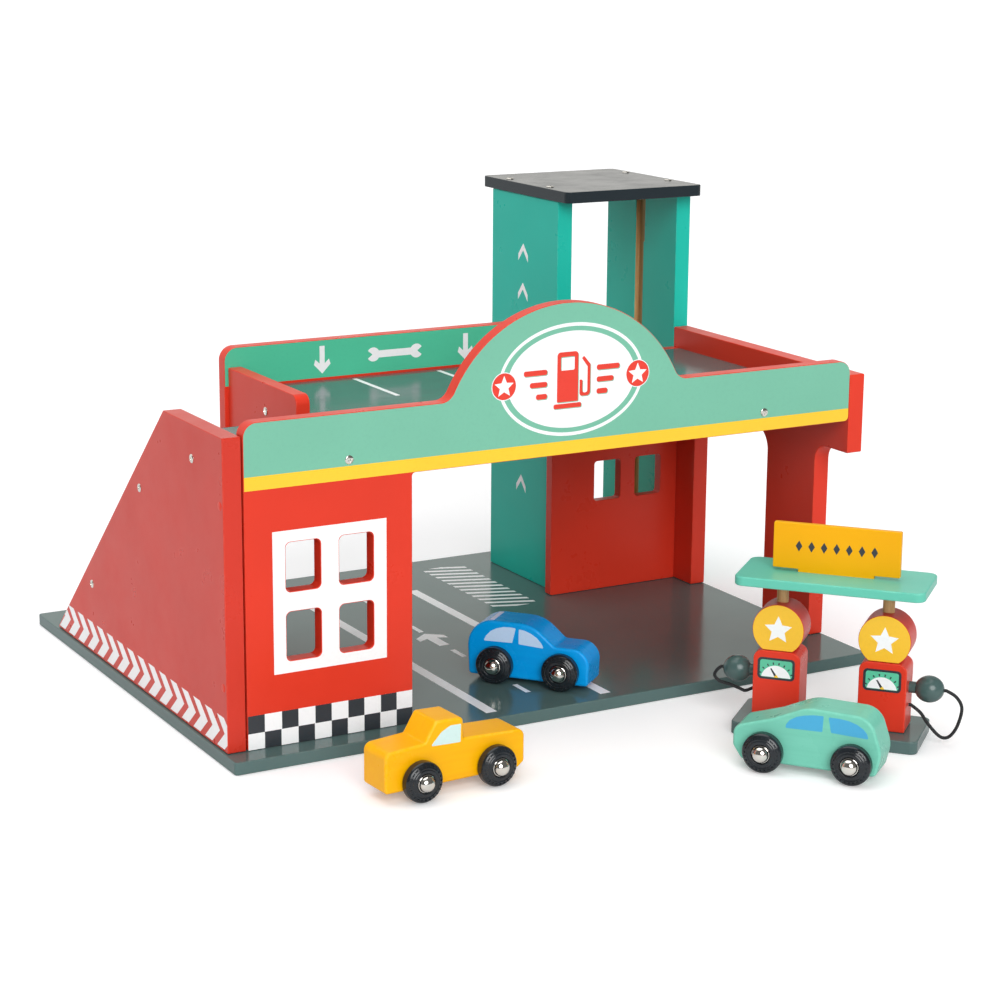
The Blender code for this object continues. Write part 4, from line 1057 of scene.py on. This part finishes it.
# %% Island boards
ISLAND = Matrix.Translation((0.1579, -0.3484, 0.0)) @ Matrix.Rotation(radians(-48.5), 4, "Z")
STAND = 0.0106
PUMP_TOP = STAND + 0.0547
SPACING = 0.0831
DISC_SEAT, DISC_R, DISC_HALF = 0.0167, 0.0204, 0.0128
DISC_Z = PUMP_TOP + 0.0003 + DISC_SEAT
CANOPY_Z = DISC_Z + DISC_R + 0.0182
CANOPY_TOP = CANOPY_Z + 0.0075

painted("island_base", [oblong(-0.073, -0.03225, 0.073, 0.03225, 0.006)], "Z", slate_paint,
        0.0009, (0.0, 0.0103), ISLAND)
painted("canopy", [oblong(-0.0738, -0.03415, 0.0738, 0.03055, 0.008)], "Z", canopy_paint,
        0.0012, (CANOPY_Z, CANOPY_TOP), ISLAND, 3)
SHOULDER = CANOPY_TOP + 0.0022
SIGN_TOP = SHOULDER + 0.0363
SIGN_HALF, TONGUE = 0.04965, 0.0297
tongue_end = CANOPY_TOP - 0.004
sign_outline = rounded([(-TONGUE, tongue_end, 0), (TONGUE, tongue_end, 0), (TONGUE, SHOULDER, 0),
                        (SIGN_HALF, SHOULDER, 0.001), (SIGN_HALF, SIGN_TOP), (-SIGN_HALF, SIGN_TOP),
                        (-SIGN_HALF, SHOULDER, 0.001), (-TONGUE, SHOULDER, 0)])
SIGN_FACE = ("Y", -0.0043, -1, ISLAND)
painted("canopy_sign", [sign_outline], "Y", sign_paint, 0.0006, (-0.0043, 0.0007), ISLAND)
print("canopy from", round(CANOPY_Z, 4), "to", round(CANOPY_TOP, 4))

# %% Pumps, discs and dowels
PUMP_HALF, PUMP_FRONT = 0.0186, 0.0145


def pump(way, name):
    """Pump block, disc with its star, and dowel on one side of the island."""
    middle = way * SPACING / 2
    outline = rounded([(middle - PUMP_HALF, STAND, 0.0014), (middle + PUMP_HALF, STAND, 0.0014),
                       (middle + PUMP_HALF, PUMP_TOP, 0.007), (middle - PUMP_HALF, PUMP_TOP, 0.007)])
    painted(f"pump_body_{name}", [outline], "Y", red_paint, 0.0010,
            (-PUMP_FRONT, PUMP_FRONT), ISLAND, 3)
    start = acos(DISC_SEAT / DISC_R) - pi / 2
    rim, face = [arc(middle, DISC_Z, radius, radius, start, pi - start, 72)
                 for radius in (DISC_R, DISC_R - 0.0004)]
    painted(f"pump_disc_{name}", [rim], "Y", rim_paint, 0.0006, (-DISC_HALF, DISC_HALF), ISLAND)
    for side_name, out in (("front", -1), ("back", 1)):
        side = ("Y", out * DISC_HALF, out, ISLAND)
        printed(f"disc_face_{name}_{side_name}", [face], side, star_yellow_ink)
        printed(f"disc_star_{name}_{side_name}", [star(middle, DISC_Z, 0.0114, 0.47)], side, white_ink, 2)
    dowel = turned(f"dowel_{name}_sanded", [(0, 0.0240), (0.0046, 0.0240), (0.0046, -0.004), (0, -0.004)], 40)
    dowel.data.transform(ISLAND @ Matrix.Translation((middle, 0, DISC_Z + DISC_R - 0.0015)))
    hand_over(dowel, "station", upright_beech, [f"dowel_{name}"])


pump(-1, "left")
pump(1, "right")
print("disc centres at", round(DISC_Z, 4))

# %% [markdown]
# ## Dials
# Each pump has a printed dial: a dark rounded frame, a mint field, a white scale shaped like the upper
# part of a circle, small marks round it, a dark needle and a yellow pivot. The marks are one tick that
# the tree for copies turns round the scale's centre.

# %% Dials
DIAL_FACE = ("Y", -PUMP_FRONT, -1, ISLAND)
UPRIGHT = Matrix(((1, 0, 0, 0), (0, 0, -1, 0), (0, 1, 0, 0), (0, 0, 0, 1)))
TICKS = 8


def dial(way, name):
    """Printed dial on one pump's front."""
    a = way * SPACING / 2 - 0.0002
    low, high = 0.0424, 0.0600
    centre = low - 0.0004
    field = oblong(a - 0.0128, low + 0.0018, a + 0.0128, high - 0.0018, 0.0020)
    needle = [(-0.0046, 0.0092), (-0.0036, 0.0096), (0.0012, 0.0030), (-0.0008, 0.0024)]
    pivot = [(a - 0.0018, low + 0.0019), (a + 0.0022, low + 0.0019), (a + 0.0004, low + 0.0042)]
    prints = [("frame", oblong(a - 0.0148, low, a + 0.0148, high, 0.0034), black_ink),
              ("field", field, dial_ink),
              ("scale", arc(a, centre, 0.0119, 0.0119, radians(12), radians(168), 39), white_ink),
              ("ticks", oblong(0.0127, -0.00050, 0.0146, 0.00050), black_ink),
              ("needle", moved([needle], a, centre)[0], black_ink), ("pivot", pivot, yellow_ink)]
    layer = 0
    for part, loop, finish in prints:
        if part != "ticks":
            layer += 1
            printed(f"dial_{part}_{name}", [loop], DIAL_FACE, finish, layer)
            continue
        tick = film(f"dial_ticks_{name}", [loop], ("Z", 0.0, 1, Matrix()), layer)
        tick.data.materials.append(finish)
        bake(add_tree(tick, copies, count=TICKS, start=radians(24), turn=radians(132 / (TICKS - 1)),
                      finish=finish))
        tick.data.transform(ISLAND @ Matrix.Translation((a, -PUMP_FRONT, centre)) @ UPRIGHT)
        hand_over(tick, "station", finish)


dial(-1, "left")
dial(1, "right")
lozenge = [(-0.0026, 0.0), (0.0, -0.0044), (0.0026, 0.0), (0.0, 0.0044)]
marks = [moved([lozenge], 0.0098 * k, SHOULDER + 0.0185)[0] for k in range(-3, 4)]
printed("sign_lozenges", marks, SIGN_FACE, black_ink)
print("dials and", len(marks), "lozenges on the sign")

# %% [markdown]
# ## Nozzles and cords
# A nozzle is a turned ball on a stem that plugs into the pump's side. Its cord leaves the ball's tip,
# hangs in a loop that stays clear of the floor, and goes back into the pump. The cord's route is
# given by a few points, smoothed, and swept with a round section by a node tree, which also writes
# the length along the cord and the direction round it for the braid.

# %% Cords
CORD_D = 0.0026
AXIS_Z, HOLE_Z = 0.0440, 0.0296
FACE_U = 0.06015
BALL_R, BALL_RISE, BALL_LONG = 0.0105, 0.0156, 1.09
TIP_R, NECK_R = 0.0022, 0.0045
TIP_U = FACE_U + BALL_RISE + BALL_R * BALL_LONG * sqrt(1 - (TIP_R / BALL_R) ** 2)


def smooth_route(points, spacing):
    """Evenly spaced points on the smooth curve through a route."""
    dense = []
    for p0, p1, p2, p3 in zip(points, points[1:], points[2:], points[3:]):
        for k in range(24):
            t = k / 24
            dense.append(0.5 * (2 * p1 + t * (p2 - p0) + t * t * (2 * p0 - 5 * p1 + 4 * p2 - p3)
                                + t * t * t * (3 * p1 - p0 - 3 * p2 + p3)))
    dense.append(points[-2])
    runs = [0.0]
    for a, b in zip(dense, dense[1:]):
        runs.append(runs[-1] + (b - a).length)
    count = ceil(runs[-1] / spacing)
    route = [points[0]]
    at = 0
    for k in range(count + 1):
        goal = min(runs[-1] * k / count, runs[-1])
        while at < len(runs) - 2 and runs[at + 1] < goal:
            at += 1
        share = (goal - runs[at]) / (runs[at + 1] - runs[at])
        route.append(dense[at].lerp(dense[at + 1], share))
    return route + [points[-1]]


def kept(tree, geometry, kind, label, value):
    """Value written on a geometry's points, as the geometry and the value's own socket."""
    node = put(tree, "GeometryNodeCaptureAttribute", Geometry=geometry)
    node.capture_items.new(kind, label)
    feed(tree, node.inputs[label], value)
    return node.outputs["Geometry"], node.outputs[label]


def cord_tree():
    """Round cord swept along a path, with closed ends, that carries its weave coordinates."""
    tree, given = new_tree("round_cord", [("radius", "Float"), ("sides", "Int"), ("finish", "Material")])
    run = tree.nodes.new("GeometryNodeSplineParameter").outputs["Length"]
    path, run = kept(tree, given["Geometry"], "FLOAT", "run", run)
    circle = put(tree, "GeometryNodeCurvePrimitiveCircle", Radius=given["radius"], Resolution=given["sides"])
    place = tree.nodes.new("GeometryNodeInputPosition").outputs[0]
    section, way = kept(tree, circle.outputs[0], "VECTOR", "way", place)
    tube = put(tree, "GeometryNodeCurveToMesh", Curve=path, Profile_Curve=section, Fill_Caps=True)
    ways = put(tree, "ShaderNodeSeparateXYZ", Vector=way)
    weave = put(tree, "ShaderNodeCombineXYZ", X=run, Y=ways.outputs["X"], Z=ways.outputs["Y"])
    store = tree.nodes.new("GeometryNodeStoreNamedAttribute")
    store.data_type = "FLOAT_VECTOR"
    for name, value in (("Geometry", tube.outputs[0]), ("Name", "weave"), ("Value", weave.outputs[0])):
        feed(tree, store.inputs[name], value)
    return end_tree(tree, store.outputs[0], given["finish"])


sweep_cord = cord_tree()
LOOPS = {1: [(1.364, 0.900), (1.532, 0.709), (1.439, 0.398), (1.256, 0.193), (1.062, 0.132), (0.860, 0.186),
             (0.558, 0.380), (0.360, 0.545)],
         -1: [(1.211, 0.920), (1.271, 0.818), (1.114, 0.723), (0.816, 0.682), (0.517, 0.627), (0.330, 0.595)]}


def cord(way, name):
    """Cord from one nozzle's tip round its loop to the pump's side."""
    start, end = way * (TIP_U + 0.0003), way * (FACE_U + 0.0003)
    flat = [(start, AXIS_Z), (start + way * 0.0016, AXIS_Z)]
    flat += [(way * (FACE_U + run * (TIP_U - FACE_U)), height * AXIS_Z) for run, height in LOOPS[way]]
    flat += [(end + way * 0.0016, HOLE_Z), (end, HOLE_Z)]
    path = smooth_route([ISLAND @ Vector((u, 0.0, z)) for u, z in flat], 0.5 * CORD_D)
    curve = bpy.data.curves.new("cord_path", "CURVE")
    curve.dimensions = "3D"
    spline = curve.splines.new("POLY")
    spline.points.add(len(path) - 1)
    for point, at in zip(spline.points, path):
        point.co = (*at, 1.0)
    line = add_tree(as_object("cord_path", curve), sweep_cord, radius=CORD_D / 2, sides=20, finish=braid)
    piece = as_object(f"pump_cord_{name}_braided", made_mesh(line))
    bpy.data.objects.remove(line)
    piece.data.shade_smooth()
    piece.data.materials.clear()
    piece.data.materials.append(braid)
    length = sum((b - a).length for a, b in zip(path, path[1:]))
    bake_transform(piece)
    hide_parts(f"pump_cord_{name}")
    return length


for way, name in ((1, "right"), (-1, "left")):
    print("cord", name, round(1000 * cord(way, name)), "mm")

# %% Nozzles
def nozzle(way, name):
    """Turned ball on a stem, with a small ring where the cord leaves it."""
    ball = arc(0.0, BALL_RISE, BALL_R, BALL_LONG * BALL_R, pi / 2 - asin(TIP_R / BALL_R),
               asin(NECK_R / BALL_R) - pi / 2, 32)
    tip = ball[0][1]
    profile = [(0.0, tip - 0.0006), (0.0015, tip - 0.0006), (0.0018, tip - 0.0001)] + ball
    profile += [(NECK_R, 0.0040), (NECK_R, -0.0120), (0.0040, -0.0128), (0.0, -0.0128)]
    piece = turned(f"nozzle_{name}_painted", profile, 48)
    piece.data.transform(ISLAND @ Matrix.Translation((way * FACE_U, 0, AXIS_Z)) @ facing((way, 0, 0)))
    hand_over(piece, f"nozzle_{name}", nozzle_paint, [f"nozzle_{name}"])


nozzle(-1, "left")
nozzle(1, "right")
print("nozzles", round(2000 * BALL_R), "mm across")

# %% [markdown]
# ## Wheels and axles
# A wheel is turned too, with a recess for the cap, a groove and a soft shoulder, and the tree for
# copies sets a ring of 24 small raised blocks on its shoulder. The caps are polished domes, pressed on
# the ends of a steel rod. Each axle and its wheels move with one body, so the two wheels are one piece.

# %% Wheels and axles
WHEEL_R = 0.0155
SIDE = 0.016
HALF = 0.0048
SEAT = 0.36 * 2 * HALF
WHEEL_Y = SIDE + 0.0009 + HALF
LUGS = 24


def wheel_mesh():
    """One tyre with its outer side towards +Z."""
    profile = [(0.0024, SEAT), (0.0069, SEAT), (0.0072, SEAT + 0.0003), (0.0075, 0.0042)]
    profile += arc(0.0083, 0.0040, 0.0008, 0.0008, radians(160), radians(90), 4)
    profile += [(0.0099, 0.0047), (0.0103, 0.0044), (0.0106, 0.0041), (0.0110, 0.0041), (0.0113, 0.0044)]
    profile += [(0.0117, 0.0043)] + arc(0.0122, 0.0004, 0.0033, 0.0033, radians(86), radians(5), 10)
    profile += [(WHEEL_R, -0.0026)] + arc(0.0143, -0.0036, 0.0012, 0.0012, 0.0, radians(-90), 5)
    profile += [(0.0052, -HALF), (0.0052, -HALF - 0.0006), (0.0024, -HALF - 0.0006)]
    wheel = turned("wheel", profile, 72)
    bm = block((0.0015, 0.0013, 0.0011),
               Matrix.Translation((0.0132, 0, 0.0036)) @ Matrix.Rotation(radians(30), 4, "Y"))
    bmesh.ops.bevel(bm, geom=bm.edges[:], offset=0.0002, segments=1, affect="EDGES")
    lug = from_bmesh("lug_ring", bm)
    lug.data.materials.append(tyre)
    ring = bake(add_tree(lug, copies, count=LUGS, turn=tau / LUGS, finish=tyre))
    whole = smooth(joined("wheel_with_lugs", [wheel, ring]))
    mesh = whole.data
    bpy.data.objects.remove(whole)
    return mesh


def cap_profile(seat):
    """Half section of the axle from its near dome to its far one."""
    dome = [(0.0, 0.0060)] + arc(0.0, 0.0009, 0.0063, 0.0051, radians(80), 0.0, 10)
    dome += [(0.0064, 0.0007), (0.0068, 0.0005), (0.0068, 0.0), (0.0020, 0.0)]
    near = [(radius, seat + height) for radius, height in dome]
    return near + [(radius, -height) for radius, height in reversed(near)]


WHEEL = wheel_mesh()
print("a wheel has", len(WHEEL.polygons), "faces")

# %% [markdown]
# ## Cars
# Each car is sawn from one block along its side view and then rounded over all its edges with a
# cutter, so it is a board again, with a larger bevel. Windows are printed on both sides. The wheels
# stand beside the body, and the axle runs through it. The blue car also has a rear window. It lies on
# the curve of the roof, so its film is cut along the same outline, a little outside the body.

# %% Cars
def car_outline(length, shares, step=radians(6)):
    """Side view of a car whose corners are given as shares of its length."""
    return rounded([tuple(length * share for share in corner) for corner in shares], step)


def standing(x, y, height, turn):
    """Place of a car, measured from the base board's front left corner."""
    return Matrix.Translation((x - 0.292, y - 0.221, height)) @ Matrix.Rotation(turn, 4, "Z")


def car(name, finish, outline, at, wheelbase, windows, glass):
    """Car body with its printed windows, axles and wheels."""
    painted(f"{name}_body", [outline], "Y", finish, 0.0022, (-SIDE, SIDE), at, 4)
    loops = [rounded(loop, radians(15), 0.0008) for loop in windows]
    for side_name, out in (("near", -1), ("far", 1)):
        printed(f"{name}_windows_{side_name}", loops, ("Y", out * SIDE, out, at), glass)
    for end, s in (("left", -wheelbase / 2), ("right", wheelbase / 2)):
        hub = at @ Matrix.Translation((s, 0, WHEEL_R))
        axle_name = f"{name}_{end}_axle"
        wheels = []
        for way in (-1, 1):
            wheel = as_object("wheel", WHEEL.copy())
            wheel.data.transform(hub @ Matrix.Translation((0, way * WHEEL_Y, 0)) @ facing((0, way, 0)))
            wheels.append(wheel)
        hand_over(smooth(joined(f"{name}_{end}_wheels", wheels)), axle_name, tyre,
                  [f"{name}_{end}_wheel_near", f"{name}_{end}_wheel_far"])
        axle = turned(axle_name + "_polished", cap_profile(WHEEL_Y + SEAT + 0.0003), 48)
        axle.data.transform(hub @ facing((0, 1, 0)))
        hand_over(axle, axle_name, steel, [axle_name])


pickup_turn, blue_turn, mint_turn = radians(3.9), radians(-49.5), radians(-52.0)
pickup_paint = paint("pickup_yellow_paint", (248, 182, 2), 0.30, (255, 214, 110), pickup_turn)
blue_paint = paint("car_blue_paint", (0, 156, 230), 0.26, (70, 170, 226), blue_turn)
car_mint_paint = paint("car_mint_paint", (118, 198, 176), 0.28, (160, 226, 204), mint_turn)
pale_glass = ink("window_pale_ink", (206, 232, 228))
sky_glass = ink("window_sky_ink", (190, 218, 248))
lilac_glass = ink("window_lilac_ink", (206, 210, 244))
deep_glass = ink("window_blue_ink", (66, 168, 212))

pickup_shape = car_outline(0.1197, [
    (-0.505, 0.0735, 0.025), (0.451, 0.0685, 0.025), (0.495, 0.104, 0.025), (0.495, 0.313, 0.050),
    (0.050, 0.336, 0.008), (0.047, 0.469, 0.027), (-0.149, 0.478, 0.027), (-0.227, 0.350, 0.017),
    (-0.505, 0.334, 0.050)])
car("pickup", pickup_paint, pickup_shape, standing(0.1282, -0.0893, 0.0, pickup_turn), 0.064,
    [[(-0.0225, 0.0390), (-0.0134, 0.0483), (-0.0056, 0.0520), (0.0033, 0.0516), (0.0029, 0.0378),
      (-0.0056, 0.0381)]], pale_glass)

BLUE_LENGTH = 0.1057
blue_shares = [(-0.4967, 0.0397, 0.028), (0.473, 0.038, 0.028), (0.4853, 0.3264, 0.208),
               (0.2034, 0.3264, 0.047), (0.0227, 0.4844, 0.284), (-0.5166, 0.4844, 0.3217)]
blue_at = standing(0.2958, 0.0681, 0.0103, blue_turn)
car("hatchback", blue_paint, car_outline(BLUE_LENGTH, blue_shares), blue_at, 0.0565,
    [[(-0.0395, 0.0339), (-0.0373, 0.0382), (-0.0333, 0.0426), (-0.0284, 0.0453), (-0.0222, 0.0471),
      (-0.0169, 0.0474), (-0.0116, 0.0471), (-0.0146, 0.0344)],
     [(-0.0090, 0.0466), (-0.0037, 0.0459), (0.0016, 0.0439), (0.0069, 0.0406), (0.0105, 0.0366),
      (0.0127, 0.0326), (-0.0091, 0.0340)]], sky_glass)

estate_shape = car_outline(0.1151, [
    (-0.452, 0.054, 0.035), (0.443, 0.054, 0.035), (0.4796, 0.2085, 0.19), (0.3997, 0.448, 0.139),
    (-0.026, 0.4605, 0.2605), (-0.252, 0.358, 0.2605), (-0.511, 0.2765, 0.078), (-0.511, 0.1435, 0.052)])
car("estate", car_mint_paint, estate_shape, standing(0.3868, -0.1906, 0.0, mint_turn), 0.0677,
    [[(-0.0182, 0.0356), (-0.0178, 0.0384), (-0.0152, 0.0420), (-0.0099, 0.0453), (-0.0045, 0.0470),
      (0.0026, 0.0482), (0.0105, 0.0486), (0.0100, 0.0362)],
     [(0.0143, 0.0482), (0.0224, 0.0482), (0.0295, 0.0474), (0.0358, 0.0455), (0.0408, 0.0425),
      (0.0436, 0.0393), (0.0449, 0.0353), (0.0166, 0.0365)]], deep_glass)


def roof_patch(name, outline, start, end, half, place, finish):
    """Film that follows the upper side of a car's outline between two places along the car."""
    run = [Vector(point) for point in outline if start < point[0] < end and point[1] > 0.03]
    over, under = [], []
    for k, point in enumerate(run):
        step = run[min(k + 1, len(run) - 1)] - run[max(k - 1, 0)]
        outward = Vector((step.y, -step.x)).normalized()
        over.append(tuple(point + outward * FILM * 1.5))
        under.append(tuple(point - outward * 0.0004))
    hand_over(board(name, [over + under[::-1]], "Y", -half, half, 0.0, place), "station", finish)
    return len(run)


blue_outline = car_outline(BLUE_LENGTH, blue_shares, radians(4))
points = roof_patch("hatchback_rear_window", blue_outline, -0.0370, -0.0150, 0.0125, blue_at, lilac_glass)
print("three cars; the rear window follows", points, "points of the outline")

# %% [markdown]
# ## Floor and light
# The toy stands on a pale floor in soft studio light. Two wide suns stand in for large softboxes: one
# from above, and a stronger one from the front. A sun lights the whole floor evenly, and the wide
# angle keeps its shadow soft. The world shows as plain white and is dimmer as a lamp. What is
# mirrored sees it dark towards the front and bright towards the back, as in a studio with its white
# backdrop behind the toy. The floor, too, is a little darker in mirrored and bounced light.

# %% Floor, world and lamps
def pale_floor():
    mesh = bpy.data.meshes.new("floor")
    far, under = 40.0, -0.0002
    mesh.from_pydata([(-far, -far, under), (far, -far, under), (far, far, under), (-far, far, under)],
                     [], [(0, 1, 2, 3)])
    material, tree, shader, where = blank("floor_white")
    cloud = spread(tree, noise(tree, where, 3.0), 0.0, 1.0)
    tone = mixed(tree, cloud, linear(245, 245, 245), linear(241, 241, 242))
    path = tree.nodes.new("ShaderNodeLightPath").outputs
    for ray, darker in (("Is Glossy Ray", 0.12), ("Is Diffuse Ray", 0.15)):
        tone = mixed(tree, times(tree, path[ray], darker), tone, linear(0, 0, 0))
    for name, value in (("Base Color", tone), ("Roughness", 0.9), ("Specular IOR Level", 0.1),
                        ("Emission Color", (1, 1, 1, 1)),
                        ("Emission Strength", times(tree, path["Is Camera Ray"], 0.20))):
        feed(tree, shader.inputs[name], value)
    mesh.materials.append(material)
    as_object("floor", mesh)


def white_world(light, mirrored):
    """World that lights with one strength, is mirrored from another up, and shows as white."""
    world = bpy.data.worlds.new("studio")
    bpy.context.scene.world = world
    world.use_nodes = True
    tree = world.node_tree
    background = tree.nodes["Background"]
    path = tree.nodes.new("ShaderNodeLightPath").outputs
    warm = mixed(tree, path["Is Glossy Ray"], (1, 1, 1, 1), (1.0, 0.985, 0.94, 1))
    direction = tree.nodes.new("ShaderNodeTexCoord").outputs["Generated"]
    split = put(tree, "ShaderNodeSeparateXYZ", Vector=direction)
    behind = spread(tree, split.outputs["Y"], mirrored, 0.88, 0.2, 0.8)
    glossy = times(tree, path["Is Glossy Ray"], path["Is Transmission Ray"], "MAXIMUM")
    lit = times(tree, times(tree, glossy, behind), spread(tree, glossy, light, 0.0, 0.0, 1.0), "ADD")
    feed(tree, background.inputs["Color"], warm)
    feed(tree, background.inputs["Strength"], times(tree, lit, path["Is Camera Ray"], "MAXIMUM"))


def wide_sun(name, towards, strength, width):
    """Sun that shines from the given direction, as wide as a softbox looks from the toy."""
    data = bpy.data.lights.new(name, "SUN")
    data.energy = strength
    data.angle = radians(width)
    lamp = as_object(name, data)
    lamp.rotation_euler = Vector(towards).to_track_quat("Z", "Y").to_euler()
    lamp.location = Vector(towards) * 2


pale_floor()
white_world(0.42, 0.15)
wide_sun("top_softbox", (-0.15, 0.20, 1.0), 1.20, 60.0)
wide_sun("front_softbox", (-0.28, -0.82, 0.44), 2.15, 40.0)
